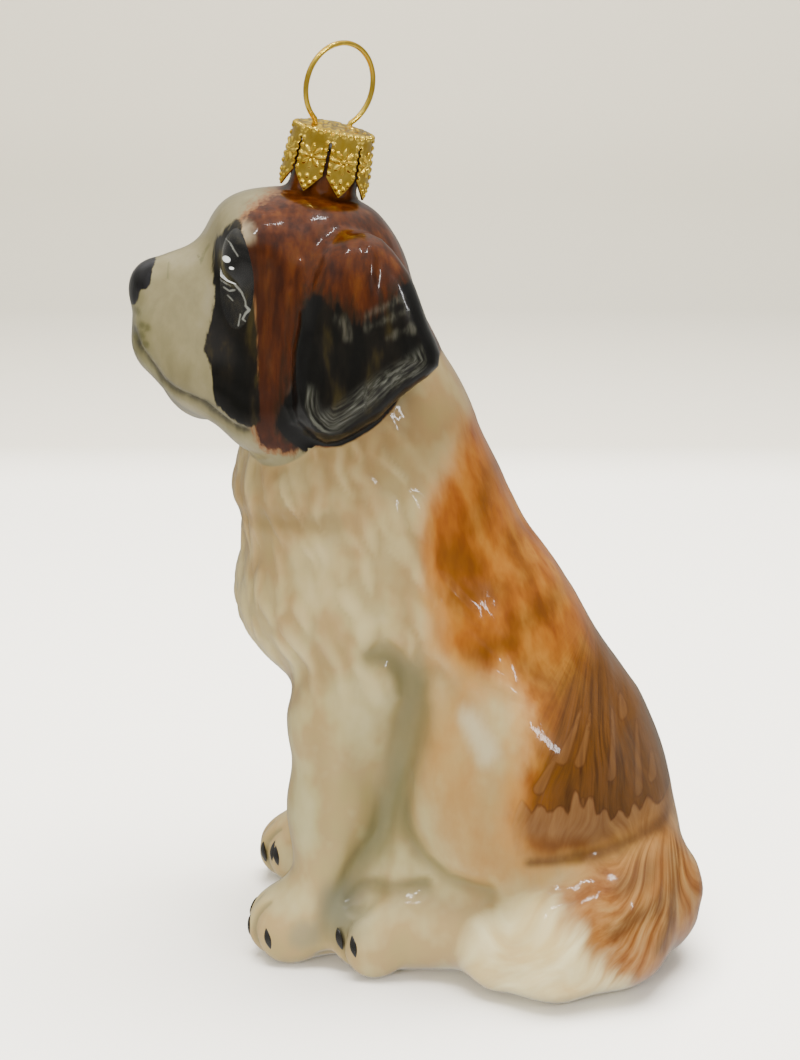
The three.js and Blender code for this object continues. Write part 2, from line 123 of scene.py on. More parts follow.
# %% Camera
CAMERA_AT = np.array([322.0, 0.0, 145.0])
AIM_AT = np.array([0.0, 0.0, 59.0])
FOCAL_PX = 2360.0  # in a picture 1060 pixels high
camera_data = bpy.data.cameras.new("camera")
camera_data.sensor_width = 36.0
camera_data.lens = camera_data.sensor_width * FOCAL_PX / 1060.0
camera_data.clip_start = 0.01
camera = bpy.data.objects.new("camera", camera_data)
bpy.context.collection.objects.link(camera)
camera.location = ((CAMERA_AT + TO_CENTRE) * MM).tolist()
tilt = math.atan2(CAMERA_AT[2] - AIM_AT[2], CAMERA_AT[0] - AIM_AT[0])
camera.rotation_euler = (math.pi / 2 - tilt, 0, math.pi / 2)
bpy.context.scene.camera = camera
print("camera looks down by %.1f degrees, lens %.0f mm" % (math.degrees(tilt), camera_data.lens))

# %% [markdown]
# ## The blown form as a field
# Blown glass has no edges: every part flows into the next. Separate lofted or subdivided pieces
# would show their joins, so the dog is one field, a function that is negative inside the glass and
# positive outside. Ellipsoids and tapered limbs are joined by a smooth minimum, with the sizes of
# the solids, and one mesh is made of the surface where the field is zero.


# %% Field pieces
def smooth_min(a, b, k):
    """The smaller of two distances, less (k - |a - b|)^2 / 4k where they are within k."""
    return np.minimum(a, b) - np.maximum(k - np.abs(a - b), 0) ** 2 / (4 * k)


def smooth_max(a, b, k):
    """The larger of two distances, rounded the same way: a smooth minimum turned over."""
    return -smooth_min(-a, -b, k)


def blend(k, first, *others):
    """Joins several distances one after another by the smooth minimum."""
    for other in others:
        first = smooth_min(first, other, k)
    return first


def ellipsoid(p, centre, radii, pitch=0.0):
    """|q| (|q| - 1) / |q / r|, with q the point in units of the radii r, pitched about X."""
    c, s = math.cos(math.radians(pitch)), math.sin(math.radians(pitch))
    dx, dy, dz = p[0] - centre[0], p[1] - centre[1], p[2] - centre[2]
    dy, dz = dy * c + dz * s, dz * c - dy * s
    qx, qy, qz = dx / radii[0], dy / radii[1], dz / radii[2]
    k0 = np.sqrt(qx * qx + qy * qy + qz * qz)
    k1 = np.sqrt((qx / radii[0]) ** 2 + (qy / radii[1]) ** 2 + (qz / radii[2]) ** 2)
    return k0 * (k0 - 1) / np.maximum(k1, 1e-6)


def limb(p, a, b):
    """Distance to the segment from a to b, less a radius. Each end is (x, y, z, radius)."""
    ab = [b[i] - a[i] for i in range(3)]
    t = np.clip(sum((p[i] - a[i]) * ab[i] for i in range(3)) / sum(v * v for v in ab), 0, 1)
    reach = np.sqrt(sum((p[i] - a[i] - t * ab[i]) ** 2 for i in range(3)))
    return reach - (a[3] + t * (b[3] - a[3]))


def chain(p, stations, k):
    """Limbs from each station to the next, blended."""
    return blend(k, *[limb(p, a, b) for a, b in zip(stations, stations[1:])])


def mirrored(p):
    """(|x|, y, z): whatever is placed at +X shows on both sides."""
    return (np.abs(p[0]), p[1], p[2])


# %% Outlines in the side view
def smooth_outline(points, count):
    """A closed centripetal Catmull-Rom curve through the points, sampled at even spacing."""
    p = np.array(points, float)
    samples = []
    for i in range(len(p)):
        q = [p[(i + j - 1) % len(p)] for j in range(4)]
        knot = np.concatenate([[0], np.cumsum([np.linalg.norm(q[j + 1] - q[j]) ** 0.5 for j in range(3)])])
        t = np.linspace(knot[1], knot[2], 24, endpoint=False)[:, None]
        a = [((knot[j + 1] - t) * q[j] + (t - knot[j]) * q[j + 1]) / (knot[j + 1] - knot[j])
             for j in range(3)]
        b = [((knot[j + 2] - t) * a[j] + (t - knot[j]) * a[j + 1]) / (knot[j + 2] - knot[j])
             for j in range(2)]
        samples.append(((knot[2] - t) * b[0] + (t - knot[1]) * b[1]) / (knot[2] - knot[1]))
    curve = np.concatenate(samples)
    closed = np.vstack([curve, curve[:1]])
    along = np.concatenate([[0], np.cumsum(np.linalg.norm(np.diff(closed, axis=0), axis=1))])
    want = np.linspace(0, along[-1], count, endpoint=False)
    return np.stack([np.interp(want, along, closed[:, i]) for i in range(2)], 1)


def segment_distance(u, v, a, b):
    """Distance in the plane from (u, v) to the segment from a to b, and how far along it, 0 to 1."""
    du, dv = b[0] - a[0], b[1] - a[1]
    t = np.clip(((u - a[0]) * du + (v - a[1]) * dv) / (du * du + dv * dv), 0, 1)
    return np.hypot(u - a[0] - t * du, v - a[1] - t * dv), t


def line_distance(u, v, points, widths=None):
    """Distance to an open line. Where widths are given, less the width there."""
    best = np.full(u.shape, 1e9)
    widths = widths or [0] * len(points)
    for a, b, wa, wb in zip(points, points[1:], widths, widths[1:]):
        reach, t = segment_distance(u, v, a, b)
        best = np.minimum(best, reach - wa - t * (wb - wa))
    return best


def outline_distance(u, v, points):
    """Distance to a closed outline, negative inside it."""
    best = np.full(u.shape, 1e9)
    inside = np.zeros(u.shape, bool)
    for a, b in zip(points, np.roll(points, -1, axis=0)):
        best = np.minimum(best, segment_distance(u, v, a, b)[0])
        if a[1] != b[1]:
            inside ^= ((a[1] > v) != (b[1] > v)) & (u < a[0] + (v - a[1]) / (b[1] - a[1]) * (b[0] - a[0]))
    return np.where(inside, -best, best)


# %% [markdown]
# ## The head
# A mould gives the head soft brows, full cheeks and hanging ears. It could be sculpted by hand, but
# then no size could be named. Here the skull, brows, cheeks, muzzle, lips and nose are blended wide,
# and the eyeballs and ears are joined with small blends, so that they stand out. The crown is cut
# where the cap's seat is, and the glass pipe comes up through the cap's foot.

# %% The head's field
HEAD_TURN = math.radians(5.0)  # towards the dog's left
HEAD_PIVOT_Y = -9.0
CAP_FOOT = np.array([0.0, -10.6, 106.9])
CAP_LEAN = math.radians(11.7)
COLLAR_RADIUS = 4.6
EYE_CENTRE = (8.8, -21.6, 98.4)
EAR_OUTLINE = smooth_outline([(-10.4, 101.5), (-4.5, 102.4), (-0.4, 98), (2.4, 91), (4, 86), (-0.5, 82),
                              (-6, 77.2), (-11.2, 75.2), (-15.4, 79), (-15.6, 85), (-14.6, 91)], 40)
print("ear spans", np.ptp(EAR_OUTLINE, axis=0).round(1), "mm in the side view")


def head_frame(p):
    """The head's own x, y and z, as they are before it is turned."""
    c, s = math.cos(HEAD_TURN), math.sin(HEAD_TURN)
    dy = p[1] - HEAD_PIVOT_Y
    return (p[0] * c + dy * s, dy * c - p[0] * s + HEAD_PIVOT_Y, p[2])


def cap_frame(p):
    """Distance from the cap's axis, and height over the plane of its tips."""
    dy, dz = p[1] - CAP_FOOT[1], p[2] - CAP_FOOT[2]
    over = dy * math.sin(CAP_LEAN) + dz * math.cos(CAP_LEAN)
    return np.hypot(p[0], dy * math.cos(CAP_LEAN) - dz * math.sin(CAP_LEAN)), over


def ear_field(h):
    """The outline in the side view, pillowed: its half thickness rises inwards as a quarter circle."""
    edge = np.full(h[0].shape, 9.0)
    near = (np.abs(h[1] + 6) < 20) & (h[2] > 66) & (h[2] < 111) & (np.abs(h[0]) > 6)
    edge[near] = outline_distance(h[1][near], h[2][near], EAR_OUTLINE)
    middle = 15.6 - 0.01 * (h[2] - 84) ** 2
    inward = np.clip(-edge / 6, 0, 1)
    half = 1.8 + 2.4 * np.sqrt(1 - (1 - inward) ** 2)
    return np.where(edge > 8, edge, smooth_max(edge, np.abs(np.abs(h[0]) - middle) - half, 2))


def head_field(p):
    """Skull, brows, cheeks, muzzle, eyeballs and ears, with the cap's seat cut and the pipe on it."""
    h = head_frame(p)
    m = mirrored(h)
    core = blend(4, ellipsoid(h, (0, -12.6, 91.5), (15.6, 13.2, 15.2), -14),
                 ellipsoid(h, (0, -13.6, 97.8), (12.8, 10.6, 9.6)),
                 limb(h, (0, -10.6, 92, 11.4), (0, -7.6, 82, 13)))
    core = blend(4, core, ellipsoid(m, (7.4, -20.2, 100.4), (5.4, 4, 4.2), 14),
                 ellipsoid(h, (0, -20.9, 101.7), (6.4, 4.8, 4.4)),
                 ellipsoid(m, (8.8, -15.2, 81), (7, 8, 10.4)))
    lips = chain(m, [(4.8, -31.4, 87.4, 5.2), (7, -27, 83.8, 5.2), (8.2, -20, 79.4, 5.8)], 3)
    face = blend(3, ellipsoid(h, (0, -26.6, 88.8), (9.8, 9.8, 9.2), -8),
                 limb(h, (0, -21, 97.2, 4.4), (0, -32, 93.6, 4.4)), lips,
                 ellipsoid(h, (0, -27.6, 80), (6, 5.2, 4.2), -35))
    face = blend(1.6, face, ellipsoid(h, (0, -34, 94), (4.4, 2.8, 3.2), 10))
    head = smooth_min(core, face, 4)
    head = smooth_min(head, ellipsoid(m, EYE_CENTRE, (3, 2.8, 3.2)), 0.8)
    head = smooth_min(head, ear_field(h), 1.6)
    from_axis, over = cap_frame(p)
    crown = smooth_max(head, over + 0.3, 1.5)
    pipe = smooth_max(from_axis - COLLAR_RADIUS, np.abs(over - 2) - 4, 0.6)
    return smooth_min(crown, pipe, 1.6)


# %% [markdown]
# ## The body
# The trunk leans forward over the forelegs, the ruff hangs in two tiers, the thighs swell at the
# sides, and the tail curls round the left haunch. A crease is carved behind each foreleg, because a
# blend alone leaves the leg flush with the flank.

# %% The body's field
TAIL = [(2, 32, 10.2, 9), (13, 32.5, 9.8, 9.4), (21.6, 28.4, 8.9, 8.8), (25.4, 21, 7.2, 7.2),
        (24, 14, 5.6, 5.5)]
print("tail is", 2 * TAIL[0][3], "mm thick at its root and", 2 * TAIL[-1][3], "mm at its tip")


def toes(m, x, y, z, length, height):
    """Four ellipsoids side by side, the outer ones set back by 0.09 dx^2."""
    return blend(0.8, *[ellipsoid(m, (x + dx, y + 0.09 * dx * dx, z), (1.9, length, height), 8)
                        for dx in (-4.6, -1.6, 1.5, 4.4)])


def body_field(p):
    """Neck, trunk, thighs and legs. The far foreleg stands out by 0.1 of its depth under z = 47."""
    m = mirrored(p)
    neck = blend(4, chain(p, [(0, -7.8, 82, 13.2), (0, -5.6, 72, 15.5), (0, -3.4, 60, 17),
                              (0, -2, 50, 17.4)], 4),
                 ellipsoid(p, (0, -8.6, 66), (15.8, 14.4, 10), 6),
                 ellipsoid(p, (0, -8, 51), (17.4, 15.2, 12.4), 6))
    torso = blend(5, chain(p, [(0, -1.2, 59, 16.9), (0, 6.2, 42, 19.2), (0, 15.4, 25, 21.6)], 4),
                  ellipsoid(p, (0, 6, 20), (13, 13, 18.4)),
                  ellipsoid(p, (0, 19, 17.4), (23.4, 20.6, 16.2)))
    body = blend(5, smooth_min(torso, neck, 4), ellipsoid(m, (14, 14, 27), (12.4, 15.8, 15.4), -20))
    far_spread = np.where(p[0] > 0, 0.0, 0.1 * np.maximum(0, 47 - p[2]))
    f = (m[0] - far_spread, p[1], p[2])
    foreleg = blend(3, chain(f, [(10.5, -3, 47, 9), (11.4, -7.6, 35, 6.9), (11.6, -8.4, 22, 6.2),
                                 (11.8, -9.4, 11, 6)], 5),
                    ellipsoid(f, (11.7, -13.2, 5.4), (6.7, 8, 5.8), 6))
    foreleg = blend(1.6, foreleg, toes(f, 11.7, -17.4, 4.1, 4, 3.9))
    hindfoot = blend(1.6, chain(m, [(16.4, 11, 7, 7), (16.4, -1.5, 6.2, 6.3)], 3),
                     ellipsoid(m, (13.6, 0.4, 13.6), (5.6, 5, 5.6)),
                     toes(m, 16.6, -5.4, 4.6, 4, 4.4))
    crease = chain(m, [(20.4, -1.6, 47.4, 1.2), (21.4, 2, 44.4, 2.2), (21.4, 0.4, 37, 2.4),
                       (20.4, -1.6, 28, 2.4), (19.4, -3.8, 18, 2.2), (18.6, -5.4, 11, 1.6)], 2)
    return smooth_max(blend(3, body, foreleg, hindfoot), -crease, 2.4)


def tail_field(p):
    """A limb that tapers through the tail's stations, curling to the dog's left."""
    return chain(p, TAIL, 3)


def dog_field(p):
    """The whole glass form, cut flat where it stands."""
    d = smooth_min(body_field(p), head_field(p), 1.2)
    return np.maximum(smooth_min(d, tail_field(p), 4.4), -p[2])


# %% [markdown]
# ## From field to mesh
# The field is sampled on a grid, finer round the head. Each grid cell that the surface crosses gets
# one vertex, the mean of the crossings on its edges, and each crossed grid edge gets a quad of the
# four cells round it. This is called surface nets, and it gives even quads with no seam. Each
# vertex is then moved down the field's slope onto the surface.


# %% Surface nets
def graded(stretches, scale):
    """Grid lines from (start, step) stretches, the last of which gives only the end."""
    lines = []
    for (start, step), (end, _) in zip(stretches, stretches[1:]):
        lines.append(np.linspace(start, end, max(1, round((end - start) / (step * scale))), endpoint=False))
    return np.concatenate(lines + [[stretches[-1][0]]])


def let_go_of_diagonals(value):
    """Where inside corners of a grid square meet only across its diagonal, they are let go."""
    for _ in range(4):
        changed = 0
        for axes in ((0, 1), (1, 2), (0, 2)):
            corner = []
            for a, b in ((0, 0), (0, 1), (1, 0), (1, 1)):
                cut = [slice(None)] * 3
                cut[axes[0]] = slice(a, value.shape[axes[0]] - 1 + a)
                cut[axes[1]] = slice(b, value.shape[axes[1]] - 1 + b)
                corner.append(tuple(cut))
            v00, v01, v10, v11 = (value[c] < 0 for c in corner)
            for mask, pair in ((v00 & v11 & ~v01 & ~v10, (0, 3)), (v01 & v10 & ~v00 & ~v11, (1, 2))):
                changed += int(mask.sum())
                for c in pair:
                    value[corner[c]][mask] = 1e-3
        if not changed:
            break


def surface_nets(value, lines):
    """Vertices in millimetres, and quads, for the surface where the sampled value is zero."""
    let_go_of_diagonals(value)
    inside = value < 0
    n = value.shape
    corners = [(a, b, c) for a in (0, 1) for b in (0, 1) for c in (0, 1)]
    count = sum(inside[a:n[0] - 1 + a, b:n[1] - 1 + b, c:n[2] - 1 + c].astype(np.int8) for a, b, c in corners)
    active = (count > 0) & (count < 8)
    cell = np.argwhere(active)
    number = np.full(active.shape, -1)
    number[active] = np.arange(len(cell))
    total, crossings = np.zeros((len(cell), 3)), np.zeros(len(cell))
    for a in corners:
        for axis in (i for i in range(3) if not a[i]):
            b = tuple(v + (i == axis) for i, v in enumerate(a))
            ia, ib = (tuple((cell + c).T) for c in (a, b))
            va, vb = value[ia], value[ib]
            hit = (va < 0) != (vb < 0)
            t = np.where(hit, va / np.where(hit, va - vb, 1), 0)
            for i in range(3):
                at = lines[i][ia[i]]
                total[:, i] += np.where(hit, at + (t * (lines[i][ib[i]] - at) if i == axis else 0), 0)
            crossings += hit
    quads = []
    for axis in range(3):
        u, w = (axis + 1) % 3, (axis + 2) % 3
        low, high = [slice(1, None)] * 3, [slice(1, None)] * 3
        low[axis] = slice(0, -1)
        va, vb = inside[tuple(low)], inside[tuple(high)]
        for mask, order in ((va & ~vb, 1), (vb & ~va, -1)):
            at = np.argwhere(mask) + [0 if i == axis else 1 for i in range(3)]
            ring = []
            for du, dw in ((0, 0), (1, 0), (1, 1), (0, 1)):
                near = at.copy()
                near[:, u] -= du
                near[:, w] -= dw
                ring.append(number[tuple(near.T)])
            quads.append(np.stack(ring, 1)[:, ::order])
    return total / crossings[:, None], np.concatenate(quads)


def slope(field, points, e=0.02):
    """The field's gradient at each point, by central differences."""
    steps = np.eye(3) * e
    rise = [field(tuple((points + step).T)) - field(tuple((points - step).T)) for step in steps]
    return np.stack(rise, 1) / (2 * e)


def settle(field, points, reach):
    """Two steps of d g / |g|^2 down the slope g, with each point kept within reach of its start."""
    start = points.copy()
    for _ in range(2):
        g = slope(field, points)
        points = points - g * (field(tuple(points.T)) / np.maximum((g * g).sum(1), 1e-3))[:, None]
    return start + np.clip(points - start, -reach, reach)


# %% The skin's grid
coarser = 1.0
grid = [
    graded([(-29, 0.6), (36, None)], coarser),
    graded([(-40, 0.5), (8, 0.72), (46, None)], coarser),
    graded([(-1, 0.66), (40, 0.55), (70, 0.46), (115.5, None)], coarser),
]
sample = np.meshgrid(*[g.astype(np.float32) for g in grid], indexing="ij")
sampled = dog_field(tuple(sample)).astype(np.float32)
skin_points, skin_quads = surface_nets(sampled, grid)
skin_points = settle(dog_field, skin_points, 0.3 * coarser)
print("grid", sampled.shape, "gives", len(skin_points), "vertices and", 2 * len(skin_quads), "triangles")

# %% [markdown]
# ## Relief
# The mould gives the coat: rows of overlapping locks down the ruff, combed grooves that fan out over the
# haunch and the tail, and folds in the cheek and the ear. Each is a height in millimetres as a function of
# place, added along the normal. The heights are low and round, because molten glass does not fill sharp
# corners, and the paint reads them too: the cream is painted darker in the hollows, as painted shade.


# %% Smooth noise
def lattice_noise(u, v, seed):
    """Random heights from -1 to 1 at whole numbers, joined by a smooth step in between."""
    table = np.random.RandomState(seed).uniform(-1, 1, (256, 256))
    iu, iv = np.floor(u).astype(int), np.floor(v).astype(int)
    fu, fv = ramp(u - iu, 0, 1), ramp(v - iv, 0, 1)
    low = table[iu % 256, iv % 256] * (1 - fu) + table[(iu + 1) % 256, iv % 256] * fu
    high = table[iu % 256, (iv + 1) % 256] * (1 - fu) + table[(iu + 1) % 256, (iv + 1) % 256] * fu
    return low * (1 - fv) + high * fv


# %% Locks of the ruff
def lock_height(off, t, half, lift):
    """lift (1 - (off / w)^2) sin(pi t)^0.7, and w is the half width, fullest a third of the way down."""
    width = half * (np.sin(np.pi * np.clip(t, 0, 1) ** 0.62) ** 0.8 + 0.04)
    return lift * np.clip(1 - (off / width) ** 2, 0, 1) * np.sin(np.pi * np.clip(t, 0, 1)) ** 0.7


def ruff_relief(x, y, z):
    """Rows of locks hang round the neck, each bent like an S, and the highest one shows."""
    random = np.random.RandomState(11)
    around = np.arctan2(x, -(y - (-6 + 0.16 * (80 - z)))) * 16.5
    height = np.zeros(len(x))
    for row_z in np.arange(83, 38, -4.2):
        for arc in np.arange(-46, 46, 3.3) + random.uniform(0, 3.3):
            arc += random.uniform(-1.1, 1.1)
            top = row_z + random.uniform(-1.8, 1.8)
            length = random.uniform(5.5, 10.5)
            half = random.uniform(0.8, 1.7)
            lean = 0.008 * arc + random.uniform(-0.16, 0.16)
            sway, lift = random.uniform(-0.7, 0.7), random.uniform(0.22, 0.6)
            near = (np.abs(around - arc) < 6) & (z < top) & (z > top - length)
            t = (top - z[near]) / length
            off = around[near] - arc - lean * (top - z[near]) - sway * np.sin(2 * np.pi * t)
            height[near] = np.maximum(height[near], lock_height(off, t, half, lift))
    share = ramp(z, 36, 45) * (1 - ramp(z, 78, 84)) * (1 - ramp(y - 0.5 * (60 - z), 3, 12))
    tiers = 0.5 * np.exp(-((z - 62.5 - 0.1 * np.abs(around)) / 1.5) ** 2) * (1 - ramp(np.abs(around), 16, 30))
    return (height - 0.16 - tiers) * share


# %% Combed grooves
FAN = (28.0, 50.0)  # the haunch's strokes spread from here, in the side view
TAIL_FAN = (38.0, 22.0)


def fan_frame(y, z, centre, side):
    """Across the strokes, as the angle times 24 mm, and along them, as the radius."""
    return np.arctan2(y - centre[0], centre[1] - z) * 24 + 90 * side, np.hypot(y - centre[0], z - centre[1])


LEG_CREASE = [(-3.8, 46.8), (-1.3, 46.2), (1.1, 43.4), (1.9, 39.5), (1.1, 34.5), (-0.3, 29), (-1.7, 23.5),
              (-3.1, 18.6), (-6.7, 14.3), (-8.9, 10.5), (-9.6, 6)]
THIGH_EDGE = [(2.4, 42.4), (0.4, 37), (-0.6, 31), (-0.4, 26), (0.6, 21.6), (2.5, 18.4), (6.3, 15.2),
              (12, 13.8)]
FOOT_EDGE = [(-8.3, 9.5), (-5.3, 12), (-1.1, 12.9), (3.6, 13.6)]


def toe_gap(x, y, z):
    """Distance to the nearest line between two toes, on the fronts of the paws and hind feet."""
    m, shift = np.abs(x), np.where(x > 0, 0.0, 0.1 * np.maximum(0, 47 - z))
    front = np.minimum.reduce([np.abs(m - shift - 11.7 - at) for at in (-3.1, 0.0, 3.0)])
    hind = np.minimum.reduce([np.abs(m - 16.6 - at) for at in (-3.1, 0.0, 3.0)])
    front += 4 * ramp(y, -17.5, -14.5) + 4 * ramp(z, 8.5, 11)
    hind += 4 * ramp(-y, 12, 13) + 4 * ramp(y, -6, -3.4) + 4 * ramp(z, 8, 10) + 4 * ramp(13 - m, 0, 1)
    return np.minimum(front, hind)


def combed_relief(x, y, z):
    """Noise that is narrow across the strokes and long along them, and creases round the legs."""
    side = np.sign(x)
    tail = 1 - ramp(tail_field((x, y, z)), 0.4, 1.8)
    warp = 3.0 * lattice_noise(y / 6 + 20, z / 6 + 20, 31)
    across, along = fan_frame(y, z, TAIL_FAN, side)
    on_tail = 0.14 * lattice_noise((across + warp) / 2.9 + 40, along / 7 + 9, 3) * tail * ramp(along, 3, 8)
    across, along = fan_frame(y, z, FAN, side)
    haunch = ramp(y, 10, 18) * ramp(z, 16, 22) * (1 - ramp(z, 40, 50)) * (1 - tail) * ramp(along, 5, 10)
    on_haunch = 0.11 * lattice_noise(across / 2.4, along / 8, 5) * haunch
    back = ramp(y - 0.3 * (60 - z), 2, 9) * ramp(z, 40, 48) * (1 - ramp(z, 74, 80))
    on_back = 0.12 * lattice_noise((y + x + 0.5 * z) / 2.2 + 60, (z - 0.5 * y) / 9 + 20 * side, 7) * back
    legs = (1 - ramp(z, 36, 44)) * ramp(z, 8, 12) * (1 - ramp(y, 8, 14))
    on_legs = 0.12 * lattice_noise(np.arctan2(x - 11 * side, y + 8) * 3 + 80, z / 8, 9) * legs
    outer = ramp(np.abs(x), 9, 14)
    creases = np.maximum.reduce([0.7 * np.exp(-(line_distance(y, z, LEG_CREASE) / 1.5) ** 2),
                                 0.6 * np.exp(-(line_distance(y, z, THIGH_EDGE) / 1.4) ** 2),
                                 0.5 * np.exp(-(line_distance(y, z, FOOT_EDGE) / 0.9) ** 2)])
    toes_apart = 0.4 * np.exp(-(toe_gap(x, y, z) / 0.5) ** 2) * ramp(z, 0.6, 2)
    return on_tail + on_haunch + on_back + on_legs - creases * outer - toes_apart


# %% Folds of the head
LIP_LINE = [(-36.6, 89.2), (-35.8, 87.2), (-34.1, 84.8), (-32.8, 82.9), (-31.4, 81.9), (-29.2, 81),
            (-27.2, 80.2), (-25.3, 78.4), (-23.4, 77.1), (-21.7, 76.7)]
EAR_FRONT = [(-14.2, 98.9), (-14.1, 94.7), (-13.9, 91.1), (-14.8, 87.8), (-14.8, 84.3), (-14.1, 80.8),
             (-12.4, 77.9), (-9.4, 77.6)]
CHEEK_FOLD = [(-15.9, 95.2), (-16.3, 90.8), (-16.6, 86.7), (-17, 83.6), (-16.5, 80.8), (-15.4, 78.3)]
EAR_FOLD = [(-5.2, 101), (-5.7, 97.2), (-6, 94), (-6.1, 91.9)]


def head_relief(x, y, z):
    """exp(-(d / w)^2) for a ridge or a groove of half width w about each line, and streaks down the cheek."""
    hx, hy, hz = head_frame((x, y, z))
    side = ramp(np.abs(hx), 8, 12)
    streaks = lattice_noise(hy / 1.35 + 0.04 * hz + 50 * (hx > 0), hz / 11 + 3, 13)
    cheek = ramp(hy, -22, -19) * (1 - ramp(hy, -1, 4)) * ramp(hz, 74, 78) * (1 - ramp(hz, 99, 104)) * side
    height = 0.14 * streaks * cheek
    for line, lift, half in ((EAR_FRONT, 0.4, 0.6), (CHEEK_FOLD, 0.3, 0.5), (EAR_FOLD, 0.3, 0.8)):
        height += lift * np.exp(-(line_distance(hy, hz, line) / half) ** 2) * side
    mouth = np.exp(-(line_distance(hy, hz, LIP_LINE) / 0.5) ** 2) * ramp(np.abs(hx), 2, 5)
    rim = np.abs(outline_distance(hy, hz, EAR_OUTLINE) + 2.6)
    rim_groove = np.exp(-(rim / 0.6) ** 2) * (1 - ramp(hz, 86, 92)) * ramp(np.abs(hx), 14, 16)
    return height - 0.4 * mouth - 0.32 * rim_groove


# %% Raising the relief
normals = slope(dog_field, skin_points)
normals /= np.linalg.norm(normals, axis=1)[:, None]
x, y, z = skin_points.T
on_head = 1 - ramp(head_field((x, y, z)), 0.2, 1.2)
relief = (ruff_relief(x, y, z) + combed_relief(x, y, z)) * (1 - on_head) + head_relief(x, y, z) * on_head
relief *= ramp(z, 0.6, 2.5)
skin_points = skin_points + normals * relief[:, None]
print("relief from %.2f to %.2f mm" % (relief.min(), relief.max()))

# %% [markdown]
# ## Where each paint goes
# The painter's areas are outlines in the side view, in millimetres, with the head's given before its
# turn. Each becomes a distance in millimetres at every vertex, negative inside the area. Distances
# join smoothly between vertices, so the shader can cut a crisp, brushed edge from them.

# %% Areas on the body
BACK_PATCH = smooth_outline([(14, 80), (10.4, 75), (7.8, 71), (5.2, 67.2), (3.8, 63.6), (4.2, 58.4),
                             (5.4, 54), (6.1, 49), (8.7, 46.4), (12.1, 45.4), (15.4, 43), (17.4, 40),
                             (17.6, 36),
                             (16.6, 30), (16, 24.4), (18.4, 20.6), (24, 19.4), (32, 19.6), (42, 19), (60, 18),
                             (60, 60), (34, 84)], 90)
BLOTCHES = [([(9.7, 58), (6.9, 60), (7.2, 54), (12.9, 54.6)], 1.3),
            ([(16.6, 50), (19.2, 51), (21.6, 51.6)], 1.2),
            ([(10.6, 46.8), (13.2, 47.4), (15.4, 48.2)], 0.9),
            ([(16.8, 44.6), (19.2, 42.6), (23.4, 40.8)], 1.4),
            ([(10.4, 63), (12.4, 69)], 0.8), ([(15.6, 60), (17.4, 55.6)], 1.0)]
LEAVES = [((24.6, 38.4), (21.8, 33.4)), ((26, 37.4), (24.2, 32.6)), ((29.4, 36.4), (28.9, 29.4)),
          ((33.2, 33.6), (33.2, 25.6)), ((35.9, 32.4), (35.6, 26.2)), ((24.6, 27.6), (23.8, 23.4)),
          ((31.0, 40.5), (31.2, 35.4)), ((21, 34), (18.6, 30))]
DRIPS = [(16.3, 28.6), (17.7, 26.3), (18.8, 27.8), (20.1, 26.2), (21.5, 27.4), (22.6, 25.6), (23.6, 29.1),
         (24.6, 26), (25.7, 28), (26.8, 24.6), (27.9, 25.6), (29, 23.2), (30.2, 24.6), (31.4, 22.6),
         (32.4, 24.6), (33.3, 22.8), (34.6, 24.2), (36, 22.4), (40, 23), (60, 23), (60, 10), (16, 10)]
CREASE_WIDTHS = [0.3, 0.9, 1.5, 1.5, 1.2, 1.0, 0.9, 0.9, 1.1, 1.1, 0.9]
PEACH = [(7, 37.6), (6, 33), (8.4, 27), (9.4, 21), (14, 19.4), (15, 26)]
hx, hy, hz = head_frame((x, y, z))
near_side = ramp(np.abs(x), 3, 9)
leaf_reach = [line_distance(y, z, [a, b], [0.25, 0.75]) for a, b in LEAVES]
areas = {
    "back": outline_distance(y, z, BACK_PATCH) + 3 * (1 - ramp(y, 0, 4)),
    "amber": np.minimum.reduce([line_distance(y, z, line) - half for line, half in BLOTCHES]),
    "leaf": np.minimum.reduce(leaf_reach) + 3 * (1 - near_side),
    "drip": outline_distance(y, z, smooth_outline(DRIPS, 160)),
    "mauve": line_distance(y, z, [(30, 46), (34.2, 37), (37, 28), (39, 22)]) - 2.6,
    "haunch": np.hypot((y - 31) / 13, (z - 31) / 15) * 13 - 13,
    "crease": line_distance(y, z, LEG_CREASE, CREASE_WIDTHS) + 4 * (1 - near_side),
    "hind_crease": np.minimum(line_distance(y, z, THIGH_EDGE), line_distance(y, z, FOOT_EDGE))
    + 4 * (1 - near_side),
    "toe_gap": toe_gap(x, y, z),
    "between": np.hypot((y + 8) / 1.5, (z - 9.6) / 1.6) - 1.6 + 4 * (1 - near_side),
    # painted shade on the side of the front paw
    "paw_shade": np.hypot((y + 13.6) / 1.5, (z - 5.4) / 1.4) - 1.3 + 4 * (1 - near_side),
    "tail": tail_field((x, y, z)),
    "thigh": line_distance(y, z, PEACH) - 4.4 + 6 * (1 - near_side),
    "spot": line_distance(y, z, [(9.4, 38.6), (11.6, 34.6)]) - 1.2 + 4 * (1 - near_side),
    # painted shade along the bottom, where the glass meets the floor
    "seat": z - 1.5,
}

